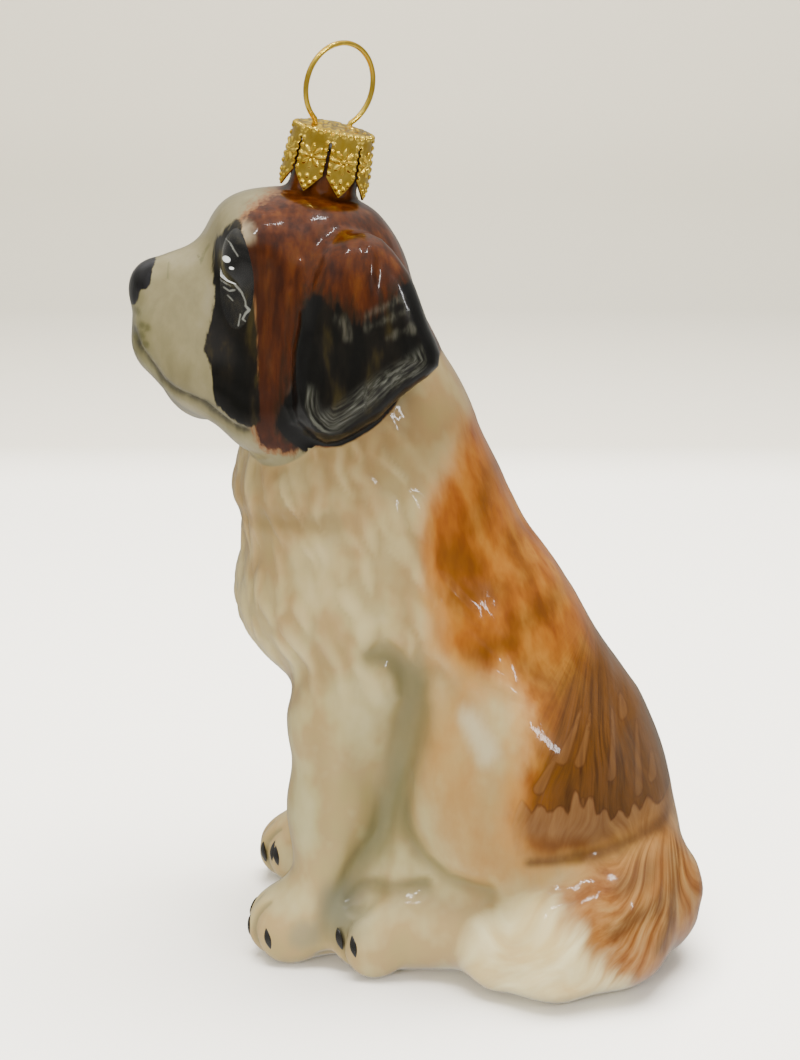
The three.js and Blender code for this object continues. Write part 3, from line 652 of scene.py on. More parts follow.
# %% Areas on the head
EYE_PATCH = smooth_outline([(-22.2, 104.3), (-23.5, 103.3), (-24.4, 102.2), (-25.3, 101.2), (-25.7, 97.6),
                            (-25.6, 93.3), (-26.2, 91.2), (-26.8, 88.7), (-27.1, 87.9), (-26.9, 86.7),
                            (-26.4, 85.4), (-26.1, 83.5), (-26, 81.4), (-25.2, 79.4), (-23.6, 78.2),
                            (-21.2, 77.1), (-20.2, 77.8), (-20, 79.7), (-20.1, 83.7), (-20.1, 88.8),
                            (-20.4, 94), (-20.9, 96.6), (-21.4, 99.1), (-21.7, 101.9), (-21.8, 103.7)], 80)
BROWN_PATCH = np.array([(-20.8, 77), (-20.6, 76.5), (-19.6, 74.6), (-18.9, 73.6), (-17.3, 74.1),
                        (-16.4, 73.4), (-15.3, 73.8), (-13.9, 75.4), (-12.6, 75.2), (-8, 71),
                        (30, 84), (30, 120), (-12, 120),
                        (-15.9, 107.2), (-17.5, 106.9), (-18.9, 106.2), (-20.6, 105.2), (-21.8, 103.9),
                        (-21.7, 101.9), (-21.4, 99.1), (-20.4, 94), (-20.1, 88.8), (-20.1, 83.7)])
EAR_BLACK = smooth_outline([(-14.2, 91), (-13.6, 93.2), (-13.2, 94.6), (-12.2, 95.2), (-10.6, 94.4),
                            (-9, 93.7), (-7.4, 92.6), (-5.8, 92.4), (-4.2, 93.4), (-2.6, 94.8),
                            (-1.2, 96.2), (2, 96),
                            (6, 91), (6, 84), (-2, 76), (-11, 73), (-17.4, 77.6), (-15.4, 83)], 70)
RIM_BAND = [(2.9, 87.9), (0.6, 86.3), (-2.1, 84.7), (-4.8, 83.1), (-7.2, 81.2), (-9.7, 79.3), (-12.2, 78.3),
            (-13.8, 79.4), (-14.3, 82.2)]
EAR_STREAKS = [[(-5.8, 92.9), (-4.1, 93.7), (-2.4, 94.4), (-0.7, 95.1)],
               [(-5.8, 91.3), (-4.1, 91.8), (-2.5, 92.6), (-0.5, 93.3)],
               [(-9.4, 92.4), (-8.6, 90)], [(-3.4, 89.8), (0.4, 91.4)]]
MUZZLE_DASHES = [[(-31.5, 97.7), (-31.7, 95.9)], [(-27.6, 98.7), (-27.2, 98.2)], [(-26, 100.4), (-26.9, 99)],
                 [(-26.9, 99), (-27.2, 97.7)]]
NOSE = smooth_outline([(-38.6, 91.8), (-36.6, 91.9), (-35.8, 92.8), (-35.4, 94.2), (-34.6, 94.4), (-34, 95.3),
                       (-33.8, 96.8), (-33.3, 98), (-36, 99), (-39, 97)], 50)
OLIVE_SPOTS = [(-35.3, 90), (-34.6, 89.8), (-35.4, 88.7), (-34.8, 87.6), (-35.9, 91.4), (-36.4, 88.4)]
off_head = 9 * ramp(0.5 - on_head, 0, 0.1)
areas.update({
    "eye_patch": np.maximum(outline_distance(hy, hz, EYE_PATCH), 4 - np.abs(hx)) + off_head,
    "brown": outline_distance(hy, hz, BROWN_PATCH),
    "forehead": np.maximum(np.hypot(hy + 21.6, hz - 102.6) - 1.6, 2 - np.abs(hx)) + off_head,
    "ear_black": np.maximum(outline_distance(hy, hz, EAR_BLACK), 13.5 - np.abs(hx)) + off_head,
    "ear_edge": np.where(np.abs(hx) > 12, outline_distance(hy, hz, EAR_OUTLINE), 9.0) + off_head,
    "rim_band": line_distance(hy, hz, RIM_BAND) - 1.5 + 5 * (1 - ramp(np.abs(hx), 13, 15)) + off_head,
    "ear_streak": np.minimum.reduce([line_distance(hy, hz, s) for s in EAR_STREAKS]) - 0.45
    + 5 * (1 - ramp(np.abs(hx), 13, 15)) + off_head,
    "lip": line_distance(hy, hz, LIP_LINE) + off_head,
    # painted shade under the jaw
    "jaw": line_distance(hy, hz, [(-35.3, 84.4), (-31.8, 79.6), (-29.5, 78.4), (-27.3, 77.3), (-22.8, 75.2)])
    + off_head,
    "dash": np.minimum.reduce([line_distance(hy, hz, s) for s in MUZZLE_DASHES]) + 4 * (np.abs(hx) < 2.5),
    "olive": np.minimum.reduce([np.hypot(hy - a, hz - b) for a, b in OLIVE_SPOTS]) - 0.5 + off_head,
    "snout": hy + 34.6 + 0.25 * (hz - 90) + off_head,
    "nose": outline_distance(hy, hz, NOSE) + off_head,
    "collar": np.maximum(cap_frame((x, y, z))[0] - 6.2, 106.2 - z),
    "relief": relief,
    "head": on_head,
})
print(len(areas), "painted areas")

# %% [markdown]
# ## The paint
# Glass lacquer is a resin with pigment. It is brushed on thinly, in coats, over silvered glass, and sealed
# with a clear gloss, so the eye sees two shines, a broad soft one and a sharp one. The cream is painted
# yellower and greyer in the hollows, as painted shade, and every colour keeps the brush's streaks. The shader
# lays the coats one over the other: each is a mask cut from its area's distance, made ragged by streaky
# noise, and a colour that varies along the brush.

# %% Brush and coat
lacquer, tree, gloss = new_material("hand painted glass", **{
    "Roughness": 0.3, "IOR": 1.45, "Specular IOR Level": 0.12, "Coat Weight": 0.55,
    "Coat Roughness": 0.04, "Coat IOR": 1.45})
place = add(tree, "TexCoord").outputs["Object"]
MILLIMETRE = 1000.0  # pattern cells in a metre, for a pattern that is 1 mm across


def brushed(grain, stretch, turn=(0, 0, 0), seed=0.0, detail=3.0, vector=None, unit=MILLIMETRE):
    """Noise of the given grain in millimetres, drawn out along the turned Z axis, or a vector's Y."""
    across, along = unit / grain, unit / grain / stretch
    scale = (across, across, along) if vector is None else (across, along, across)
    mapped = add(tree, "Mapping", {"Vector": place if vector is None else vector, "Rotation": turn,
                                   "Location": (seed, seed, seed), "Scale": scale})
    return add(tree, "TexNoise", {"Vector": mapped.outputs["Vector"], "Scale": 1.0, "Detail": detail,
                                  "Roughness": 0.55}).outputs["Fac"]


def coat(under, colour, area, soft=0.25, jag=0.0, noise=None, grow=0.0, strength=1.0, vary=None):
    """Lays a colour over another inside an area. Its edge is soft, ragged by noise, and may be grown.

    The colour is sRGB hex, another node's output, or a ramp's stops, which are read along vary.
    """
    distance = add(tree, "Attribute", attribute_name=area).outputs["Fac"] if isinstance(area, str) else area
    if noise is not None:
        ragged = add(tree, "Math", {0: noise, 1: -0.5}, operation="ADD").outputs[0]
        distance = add(tree, "Math", {0: ragged, 1: 2 * jag, 2: distance},
                       operation="MULTIPLY_ADD").outputs[0]
    mask = add(tree, "MapRange", {"Value": distance, "From Min": grow + soft, "From Max": grow - soft,
                                  "To Min": 0.0, "To Max": strength}, interpolation_type="SMOOTHSTEP")
    if vary is not None:
        colour = add(tree, "ValToRGB", {"Fac": vary}, colour).outputs["Color"]
    elif isinstance(colour, str):
        colour = linear(colour)
    # the Mix node's sockets 6 and 7 are its two colours, and output 2 is the mixed one
    return add(tree, "Mix", {0: mask.outputs[0], 6: under, 7: colour}, data_type="RGBA").outputs[2]


# %% The brushes
SLOPE = (math.radians(-32), 0, 0)  # the back's coat runs down and backwards
fan_at = add(tree, "Attribute", attribute_name="fan").outputs["Vector"]
tail_fan_at = add(tree, "Attribute", attribute_name="tail_fan").outputs["Vector"]
rim_at = add(tree, "Attribute", attribute_name="rim").outputs["Vector"]
fine = brushed(0.7, 9)
broad = brushed(2.6, 4, seed=3.0)
cloud = brushed(9, 1.3, seed=7.0)
wash = brushed(4.5, 1.8, seed=12.0, detail=4.0)
back_broad = brushed(3.4, 3, SLOPE, seed=9.0)
fan_fine = brushed(0.9, 9, vector=fan_at, unit=1.0)
fan_broad = brushed(2.4, 6, vector=fan_at, unit=1.0, seed=4.0)
tail_fine = brushed(1.9, 4, vector=tail_fan_at, unit=1.0, seed=6.0, detail=4.0)
tail_broad = brushed(3.2, 3, vector=tail_fan_at, unit=1.0, seed=8.0)
rim_fine = brushed(0.45, 9, vector=rim_at, unit=1.0, seed=3.0)
hair = brushed(1.5, 7, seed=15.0, detail=2.5)
print("lacquer has", len(tree.nodes), "nodes once the brushes are in")

# %% [markdown]
# ## Cream, peach and grey
# The silvered glass is first brushed all over with cream, which is painted browner between the raised locks,
# as painted shade, and paler on them, as painted highlight. Peach is put on the thigh with a soft brush, and
# a thin grey in the creases, partly grey airbrush and partly painted shade, parts the legs from the body. All
# this could be painted by hand on a flat picture of the coat, but as coats cut by distance it follows the
# relief itself.

# %% Cream, peach and grey on the body
body = add(tree, "ValToRGB", {"Fac": cloud}, [
    (0.32, "7b6c48"), (0.46, "7d6948"), (0.56, "857856"), (0.7, "8d8363")]).outputs["Color"]
# Painted shade: the cream is darker where the relief sinks, between the locks and in the grooves.
body = coat(body, "615235", "relief", soft=0.3, grow=-0.16, jag=0.05, noise=broad, strength=0.6)
raised = add(tree, "Math", {0: add(tree, "Attribute", attribute_name="relief").outputs["Fac"], 1: -1.0},
             operation="MULTIPLY").outputs[0]
# Painted highlight: paler cream on the raised locks.
body = coat(body, "978b69", raised, soft=0.22, grow=-0.22, strength=0.55)
body = coat(body, [(0.35, "7a562b"), (0.65, "82653c")], "thigh", soft=4.6, jag=3.0, noise=wash, grow=0.4,
            strength=0.85, vary=wash)
body = coat(body, "8d846c", "spot", soft=1.4, jag=1.0, noise=broad, grow=0.3, strength=0.8)
# Grey in the crease behind the foreleg: partly grey airbrush, partly painted shade.
body = coat(body, "55523c", "crease", soft=2.2, jag=1.6, noise=wash, grow=0.8, strength=0.7)
# Painted shade: grey along the thigh's edge and the top of the hind foot.
body = coat(body, "55503a", "hind_crease", soft=1.3, jag=0.5, noise=broad, grow=0.6, strength=0.6)
# Grey between the front paw and the hind foot: partly grey airbrush, partly painted shade.
body = coat(body, "504f42", "between", soft=1.4, jag=0.7, noise=broad, grow=0.4, strength=0.7)
# Painted shade: grey on the side of the front paw.
body = coat(body, "5c5b4b", "paw_shade", soft=0.8, jag=0.9, noise=broad, grow=0.1, strength=0.55)
body = coat(body, "5a553f", "toe_gap", soft=0.3, jag=0.15, noise=broad, grow=0.25, strength=0.6)
print("body has its first coats:", len(tree.nodes), "nodes")

# %% [markdown]
# ## Rust on the back and the tail
# The saddle is a wash with a peach fringe, where the brush ran dry, and darker strokes over it. On the
# haunch long strokes fan out and end in drips, where the lacquer ran and dried. A flat patch of
# colour would look like a decal, so the fringe and the patch are two coats of one area, cut
# from the same distance at different widths, with a different grain of noise each.

# %% The back's rust
edge = coat(body, [(0.4, "8d6027"), (0.6, "92581c")], "back", soft=3.4, jag=3.6, noise=wash, grow=1.6,
            strength=0.8, vary=wash)
rust = add(tree, "ValToRGB", {"Fac": back_broad}, [
    (0.3, "633208"), (0.5, "75430d"), (0.66, "7f521a"), (0.76, "6b3a09")]).outputs["Color"]
rust = coat(rust, [(0.35, "381e00"), (0.65, "452701")], "amber", soft=2.2, jag=2.6, noise=back_broad,
            grow=0.2, strength=0.6, vary=wash)
haunch = add(tree, "ValToRGB", {"Fac": fan_fine}, [
    (0.32, "2f1601"), (0.45, "3d2204"), (0.58, "492905"), (0.7, "442912")]).outputs["Color"]
rust = coat(rust, haunch, "haunch", soft=4, jag=3, noise=fan_broad)
rust = coat(rust, [(0.4, "42280f"), (0.6, "4e321a")], "mauve", soft=2.2, jag=2.4, noise=fan_fine,
            strength=0.7, vary=fan_broad)
rust = coat(rust, "331702", "leaf", soft=0.14, grow=0.16, jag=0.2, noise=fan_broad, strength=0.4)
rust = coat(rust, [(0.3, "58381d"), (0.7, "6a4826")], "leaf", soft=0.18, grow=-0.08, jag=0.2,
            noise=fan_broad, strength=0.45, vary=fan_fine)
rust = coat(rust, "331602", "drip", soft=0.16, grow=0.22, jag=0.3, noise=fan_broad, strength=0.6)
rust = coat(rust, [(0.3, "513114"), (0.55, "5e3e21"), (0.75, "694826")], "drip", soft=0.2, grow=0.0,
            jag=0.3, noise=fan_broad, vary=fan_fine)
rust = coat(rust, [(0.4, "4e2902"), (0.6, "5e3403")], "low_amber", soft=1.2, jag=1.6, noise=wash, grow=0.2,
            strength=0.9, vary=wash)
body = coat(edge, rust, "back", soft=2.0, jag=2.6, noise=back_broad, grow=0.2)
print("the saddle is on:", len(tree.nodes), "nodes")

# %% The tail
tail = add(tree, "ValToRGB", {"Fac": tail_fine}, [
    (0.16, "3f1e05"), (0.4, "5b320b"), (0.62, "6b3f13"), (0.9, "7a5520")]).outputs["Color"]
tail = coat(tail, "361b04", "tail_dark", soft=1.2, jag=1.8, noise=tail_fine, grow=0.3, strength=0.7)
pale = add(tree, "ValToRGB", {"Fac": tail_broad}, [(0.35, "97835a"), (0.65, "a49a78")]).outputs["Color"]
tail = coat(pale, tail, "tail_back", soft=3, jag=4, noise=tail_broad)
body = coat(body, tail, "tail", soft=0.9, jag=0.8, noise=tail_fine, grow=0.5)
body = coat(body, "321904", "tail_top", soft=0.7, jag=0.5, noise=broad, grow=0.3, strength=0.7)
# Painted shade: grey on the lowest few millimetres, where the dog meets the floor.
body = coat(body, "67614b", "seat", soft=1.3, jag=0.8, noise=broad, grow=-0.2, strength=0.35)
print("the tail is on:", len(tree.nodes), "nodes")

# %% [markdown]
# ## The head's markings
# A pale muzzle, a black patch round each eye, rust over the crown and cheeks, and ears that are black
# below. The black is enamel, which covers, and the brown is a stain, which lets light through, so
# brown varies along its strokes and is darker where it meets the black, and the black barely varies.

# %% The muzzle
muzzle = add(tree, "ValToRGB", {"Fac": wash}, [
    (0.35, "524d37"), (0.55, "5c5740"), (0.7, "625d49")]).outputs["Color"]
head = coat(muzzle, "565439", "snout", soft=2.0, jag=1.6, noise=broad, strength=0.6)
# Painted shade: grey under the jaw.
head = coat(head, "52513b", "jaw", soft=1.6, jag=1.0, noise=broad, strength=0.6)
head = coat(head, "3a382a", "lip", soft=1.2, jag=0.9, noise=hair, grow=0.6, strength=0.7)
head = coat(head, "1d1c14", "lip", soft=0.35, jag=0.4, noise=hair, grow=0.3, strength=0.8)
head = coat(head, "38371f", "olive", soft=0.3, jag=0.3, noise=broad, strength=0.8)
head = coat(head, "46452f", "dash", soft=0.12, grow=0.16, strength=0.7)

# %% Brown over the crown and cheeks
brown = add(tree, "ValToRGB", {"Fac": hair}, [
    (0.3, "1b0701"), (0.44, "2a0f01"), (0.56, "371702"), (0.7, "412105")]).outputs["Color"]
darker = add(tree, "MapRange", {"Value": wash, "From Min": 0.35, "From Max": 0.65, "To Min": -1.0,
                                "To Max": 1.0}).outputs[0]
brown = coat(brown, [(0.4, "1b0902"), (0.6, "301302")], darker, soft=0.8, strength=0.7, vary=fine)
brown = coat(brown, "220c02", "eye_patch", soft=1.6, jag=1.0, noise=hair, grow=1.4, strength=0.75)
brown = coat(brown, "230c02", "ear_black", soft=2.2, jag=1.6, noise=hair, grow=1.8, strength=0.7)
head = coat(head, "563315", "brown", soft=0.5, jag=1.2, noise=fine, grow=0.5, strength=0.8)
head = coat(head, brown, "brown", soft=0.3, jag=0.9, noise=fine, grow=-0.1)
head = coat(head, "8d846c", "forehead", soft=0.9, jag=1.0, noise=broad, grow=-0.4, strength=0.5)

# %% Black round the eyes and on the ears
ink = add(tree, "ValToRGB", {"Fac": broad}, [
    (0.42, "030302"), (0.56, "090704"), (0.7, "1e1907"), (0.8, "27220c")]).outputs["Color"]
head = coat(head, ink, "eye_patch", soft=0.2, jag=0.6, noise=fine)
head = coat(head, "180e05", "ear_black", soft=0.9, jag=2.8, noise=fine, grow=0.9, strength=0.8)
head = coat(head, ink, "ear_black", soft=0.5, jag=2.4, noise=fine, grow=-0.2)
# Grey streaks along the groove inside the ear's lower rim: partly grey paint, partly a painted highlight of
# the rolled edge.
head = coat(head, [(0.38, "0b0b0a"), (0.5, "23241f"), (0.62, "3d3f3a"), (0.76, "55574f")], "rim_band",
            soft=0.9, jag=1.2, noise=rim_fine, grow=0.1, strength=0.85, vary=rim_fine)
head = coat(head, [(0.4, "1c1c17"), (0.6, "44443c")], "ear_streak", soft=0.6, jag=1.4, noise=hair,
            grow=-0.1, strength=0.45, vary=fine)
ear_edge = add(tree, "Attribute", attribute_name="ear_edge").outputs["Fac"]
rim = add(tree, "Math", {0: ear_edge, 1: -1.0, 2: -1.6}, operation="MULTIPLY_ADD").outputs[0]
in_black = add(tree, "Attribute", attribute_name="ear_black").outputs["Fac"]
rim = add(tree, "Math", {0: rim, 1: in_black}, operation="MAXIMUM").outputs[0]
head = coat(head, "040404", rim, soft=0.3, jag=0.6, noise=rim_fine, grow=0.3)
head = coat(head, [(0.4, "060607"), (0.7, "17171a")], "nose", soft=0.12, jag=0.25, noise=fine, vary=broad)
head = coat(head, [(0.35, "2c1203"), (0.65, "4c260a")], "collar", soft=0.5, jag=0.6, noise=fine,
            vary=broad)
print("the head is painted:", len(tree.nodes), "nodes")

# %% [markdown]
# ## The head joins the body, under one gloss
# The body's colours are painted paler low down, as light from the floor, and darker up the neck, as painted
# shade, so they are multiplied by a tone that changes with height. One gloss seals all. The marks of the
# brush and the waves of blown glass are too low to model, so they are a faint bump.

# %% Coats over the whole
# Painted light and shade: the body's colours are made paler at the foot and darker up the neck, by height.
LOW_TONE = 1.3  # how much paler the body's colours are at the foot than they were mixed
height = add(tree, "SeparateXYZ", {"Vector": add(tree, "TexCoord").outputs["Object"]}).outputs["Z"]
height = add(tree, "MapRange", {"Value": height, "From Max": 0.1}).outputs[0]
painted_light_by_height = add(tree, "ValToRGB", {"Fac": height}, [
    (0.09, "faffff"), (0.2, "dce6e4"), (0.58, "deded8"), (0.76, "c4c0b9")]).outputs["Color"]
body = add(tree, "VectorMath", {0: body, 1: painted_light_by_height}, operation="MULTIPLY").outputs[0]
body = add(tree, "VectorMath", {0: body, "Scale": LOW_TONE}, operation="SCALE").outputs[0]
head_share = add(tree, "MapRange", {"Value": add(tree, "Attribute", attribute_name="head").outputs["Fac"],
                                    "From Min": 0.35, "From Max": 0.65}).outputs[0]
painted = add(tree, "Mix", {0: head_share, 6: body, 7: head}, data_type="RGBA").outputs[2]
tree.links.new(painted, gloss.inputs["Base Color"])
strokes = add(tree, "Bump", {"Height": fine, "Strength": 0.1, "Distance": 0.0002})
waves = add(tree, "Bump", {"Height": brushed(3.0, 1.4, seed=2.0, detail=1.0), "Strength": 0.25,
                           "Distance": 0.0004, "Normal": strokes.outputs["Normal"]})
tree.links.new(waves.outputs["Normal"], gloss.inputs["Normal"])
tree.links.new(waves.outputs["Normal"], gloss.inputs["Coat Normal"])
print("lacquer is done:", len(tree.nodes), "nodes")

# %% The skin
side = np.sign(x)
warp = lattice_noise(y / 5 + 20, z / 5 + 20 * side, 31)
fan = np.stack([*fan_frame(y, z, FAN, side), x * 0], 1) + np.outer(warp, [1.6, 0, 0])
tail_fan = np.stack([*fan_frame(y, z, TAIL_FAN, side), x * 0], 1) + np.outer(warp, [2.4, 3.0, 0])
areas["tail_back"] = 8 * (1 - ramp(y + 0.8 * (z - 12), 17.5, 29)) - 4
areas["tail_dark"] = np.minimum.reduce([line_distance(y, z, line) for line in (
    [(35.6, 13.6), (32, 13.2), (28.6, 11.6)], [(38, 17), (37, 12), (35.4, 8)], [(30, 16.6), (34, 17)])]) - 0.8
areas["tail_top"] = line_distance(y, z, [(17.6, 19.2), (24, 19.4), (31, 20), (37.6, 20.6)],
                                  [0.5, 0.5, 0.4, 0.4])
areas["low_amber"] = line_distance(y, z, [(17.4, 22), (20, 21), (24, 20.4)]) - 1.2
rim = np.stack([areas["ear_edge"], np.arctan2(hy + 6, hz - 90) * 12, hx * 0], 1)
skin = mesh_object("glass_skin", skin_points, skin_quads, lacquer, fan=fan, tail_fan=tail_fan,
                   rim=rim, **areas)
GLASS_NODES = ["head", "ear_left", "ear_right", "nose", "neck", "torso", "foreleg_left", "foreleg_right",
               "hindleg_left", "hindleg_right", "tail", "glass_collar"]
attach(skin, "root")
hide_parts(*GLASS_NODES)
print("skin", len(skin.data.vertices), "vertices")

# %% [markdown]
# ## Eyes and claws
# These are painted last, with a small brush and thick enamel, which stands a little proud. Paint on
# the skin's half millimetre mesh could not be this fine, so each is a lens of its own: a fine polar
# grid dropped onto the glass, domed on top, with its rim sunk just below the skin and a closed back.


# %% A lens of enamel
RIM_SUNK, LENS_DEPTH = 0.06, 0.3


def enamel_lens(at, toward, up, outline, dome, rings, sectors):
    """Points at + rho outline(angle) in the tangent plane, rho 0 to 1, dropped onto the field.

    The top is dome (1 - rho^4) proud, less 0.1 rho^10, and the back is 0.3 sqrt(1 - rho^2) deep.
    """
    toward = toward / np.linalg.norm(toward)
    across = np.cross(up, toward)
    across /= np.linalg.norm(across)
    up = np.cross(toward, across)
    rho = np.concatenate([np.linspace(0, 1, rings), np.linspace(1, 0, 6)[1:]])
    beneath = np.arange(len(rho)) >= rings
    angle = np.linspace(0, 2 * np.pi, sectors, endpoint=False)
    u, v = outline(angle)
    flat = at + (rho[:, None, None] * (u[:, None] * across + v[:, None] * up))
    flat = flat.reshape(-1, 3)
    for _ in range(5):
        steepness = slope(dog_field, flat) @ toward
        fall = dog_field(tuple(flat.T)) / np.where(np.abs(steepness) > 0.3, steepness, 0.3)
        flat = flat - np.clip(fall, -2, 2)[:, None] * toward
    normal = slope(dog_field, flat)
    normal /= np.linalg.norm(normal, axis=1)[:, None]
    proud = np.where(beneath, -RIM_SUNK - LENS_DEPTH * np.sqrt(1 - rho ** 2),
                     dome * (1 - rho ** 4) - 0.1 * rho ** 10)
    points = flat + np.repeat(proud, sectors)[:, None] * normal
    last = (len(rho) - 1) * sectors
    points = np.vstack([points[:1], points[sectors:last], points[last:last + 1]])
    ring = np.arange(sectors)
    turned = np.roll(ring, -1)
    rows = 1 + np.arange(len(rho) - 3)[:, None] * sectors
    wall = np.stack([rows + ring, rows + sectors + ring, rows + sectors + turned, rows + turned], 2)
    start = 1 + (len(rho) - 3) * sectors
    front = np.stack([0 * ring, 1 + ring, 1 + turned], 1)
    back = np.stack([start + turned, start + ring, 0 * ring + len(points) - 1], 1)
    return points, front.tolist() + wall.reshape(-1, 4).tolist() + back.tolist()


def oval(half_u, half_v, point=0.0):
    """(a cos(t), b sin(t)), narrowed towards its two ends by 1 - point sin(t)^2."""
    return lambda t: (half_u * np.cos(t) * (1 - point * np.sin(t) ** 2), half_v * np.sin(t))


# %% Drawing the eye
def ring_distance(u, v, centre, radii):
    """(|q| - 1) times the mean radius, with q in units of the radii."""
    return (np.hypot((u - centre[0]) / radii[0], (v - centre[1]) / radii[1]) - 1) * (radii[0] + radii[1]) / 2


CRESCENT = [(-24.38, 100.7), (-24.84, 99.8), (-25.1, 98.7), (-25.05, 97.7), (-24.6, 96.8), (-23.8, 96.2),
            (-22.75, 95.9)]
STEM = [(-22.75, 95.7), (-21.95, 94.8), (-21.5, 93.7), (-21.5, 93.1), (-21.0, 92.6), (-21.5, 92.1),
        (-21.9, 91.3), (-21.2, 90.8), (-21.1, 90.2), (-21.7, 89.9)]
SMUDGES = [[(-24.3, 95.2), (-23.6, 94.8), (-22.9, 95)], [(-23.8, 94.2), (-23.2, 93.6)],
           [(-22.2, 91.9), (-22.5, 90.4)]]
LASHES = [[(-25.5, 97.9), (-25.4, 96.9), (-24.6, 96.0), (-23.4, 95.5)],
          [(-24.6, 102.2), (-23.4, 101.4), (-22.4, 99.8)]]


def eye_drawing(hy, hz):
    """Distances to the white strokes and to the grey ones, in the head's own side view."""
    crescent = line_distance(hy, hz, CRESCENT, [0.05, 0.17, 0.32, 0.34, 0.26, 0.15, 0.05])
    big = ring_distance(hy, hz, (-23.9, 99.2), (0.52, 0.42))
    small = ring_distance(hy, hz, (-23.25, 98.1), (0.32, 0.2))
    lash = np.minimum.reduce([line_distance(hy, hz, line) for line in LASHES]) - 0.07
    smudge = np.minimum.reduce([line_distance(hy, hz, line) for line in SMUDGES]) - 0.1
    return np.minimum.reduce([crescent, big, small]), np.minimum.reduce([
        lash, line_distance(hy, hz, STEM) - 0.13, smudge])


eye_enamel, tree, shader = new_material("black and white enamel", **{
    "Roughness": 0.25, "IOR": 1.5, "Specular IOR Level": 0.3, "Coat Weight": 1.0,
    "Coat Roughness": 0.03, "Coat IOR": 1.45})
place = add(tree, "TexCoord").outputs["Object"]
mottle = brushed(1.4, 1.6, seed=1.0)
black = add(tree, "ValToRGB", {"Fac": mottle}, [
    (0.45, "050505"), (0.62, "12110c"), (0.8, "2c2812")]).outputs["Color"]
black = coat(black, "030303", "pupil", soft=0.15)
lines = coat(black, "6f726e", "grey", soft=0.1, jag=0.2, noise=mottle, strength=0.65)
lines = coat(lines, "b9bfc2", "white", soft=0.05, jag=0.05, noise=mottle, strength=0.95)
tree.links.new(lines, shader.inputs["Base Color"])

# %% The eyes
EYE_PATCH_CENTRE = (-22.9, 96.6)


def turned_head(points):
    """From the head's own frame to the model's."""
    c, s = math.cos(HEAD_TURN), math.sin(HEAD_TURN)
    dy = points[:, 1] - HEAD_PIVOT_Y
    return np.stack([points[:, 0] * c - dy * s, dy * c + points[:, 0] * s + HEAD_PIVOT_Y, points[:, 2]], 1)


for name, way in (("left_eye", 1), ("right_eye", -1)):
    middle = turned_head(np.array([[way * 11.5, *EYE_PATCH_CENTRE]]))[0]
    gaze = turned_head(np.array([[way * 1.0, HEAD_PIVOT_Y - 0.35, 0.08]]))[0] - turned_head(
        np.array([[0, HEAD_PIVOT_Y, 0.0]]))[0]
    points, faces = enamel_lens(middle, gaze, np.array([0, 0, 1.0]), oval(3.1, 7.2, 0.1), 0.16, 72, 160)
    _, ly, lz = head_frame(points.T)
    white, grey = eye_drawing(ly, lz)
    eye = mesh_object(name, points, faces, eye_enamel, white=white, grey=grey,
                      pupil=ring_distance(ly, lz, (-22.2, 98.6), (2.5, 2.8)))
    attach(eye, "root")
    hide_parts("eye_left" if way > 0 else "eye_right")
    print(name, "spans", np.round(np.ptp(points, axis=0), 1), "mm")

# %% Claws
CLAWS = np.array([(7.0, -20.4, 5.2), (10.1, -21.4, 6.4), (13.2, -20.9, 4.6), (17.3, -18.4, 4.4),
                  (12.0, -8.0, 5.2), (19.4, -8.5, 5.2), (22.2, -6.4, 5.4)])
CLAW_UP = np.array([0, -0.25, 1.0])
CLAW_OUTLINE = oval(0.6, 1.7, 0.5)
CLAW_DOME = 0.16
claw_enamel, tree, shader = new_material("black enamel", **{
    "Roughness": 0.22, "IOR": 1.5, "Coat Weight": 1.0, "Coat Roughness": 0.03})
place = add(tree, "TexCoord").outputs["Object"]
tree.links.new(add(tree, "ValToRGB", {"Fac": brushed(0.6, 2)}, [
    (0.3, "050404"), (0.7, "16130f")]).outputs["Color"], shader.inputs["Base Color"])
claw_points, claw_faces = [], []
for way in (1, -1):
    for spot in settle(dog_field, CLAWS * [way, 1, 1], 3.0):
        toward = slope(dog_field, spot[None])[0]
        points, faces = enamel_lens(spot, toward, CLAW_UP, CLAW_OUTLINE, CLAW_DOME, 10, 32)
        claw_faces += [[i + sum(len(p) for p in claw_points) for i in face] for face in faces]
        claw_points.append(points)
claws = mesh_object("claws", np.vstack(claw_points), claw_faces, claw_enamel)
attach(claws, "root")
print(len(claw_points), "claws")

# %% [markdown]
# ## The cap
# The cap is pressed from thin sheet, slit into eight tabs that end in points, and gilt. Each tab is
# edged with beads round a raised star. Beads that small could be a bump in the material, but they
# catch the light and show at the outline, so they are in the mesh: the height of the relief is a
# function of the place on a tab, and the sheet is a profile swept round the axis.

# %% The cap's relief
CAP_PROFILE = np.array([(6.2, 0), (5.5, 7.7), (5.42, 8.1), (5.1, 8.45), (4.5, 8.75), (2.4, 9.05), (0, 9.2)])
SLIT_TOP, POINT = 7.1, 2.5  # up the profile: where the slits end, and how long the points are
STAR_AT = 4.8
STAR_HEIGHT = 0.26
BEAD, STAR_BEAD, RIM_BEAD = 0.31, 0.3, 0.42
BEAD_INSET, BEAD_PITCH = 0.42, 0.97
RIM_BEADS, RIM_RADIUS, RIM_AT = 32, 5.3, 8.3
TAB_WIDTH_RADIUS = 5.7  # where the width of a tab is taken
TABS, TAB_COLUMNS, TAB_ROWS, TOP_ROWS = 8, 45, 64, 46
GRIT, GRIT_HEIGHT = 0.62, 0.2  # the crumpled top: its grain and its height
PETALS = np.linspace(0, 2 * np.pi, 8, endpoint=False)


def bead(u, v, at, radius):
    """0.9 sqrt(radius^2 - d^2), with d the distance from the bead's middle: a ball cap, pressed."""
    return np.sqrt(np.clip(radius ** 2 - (u - at[0]) ** 2 - (v - at[1]) ** 2, 0, None)) * 0.9


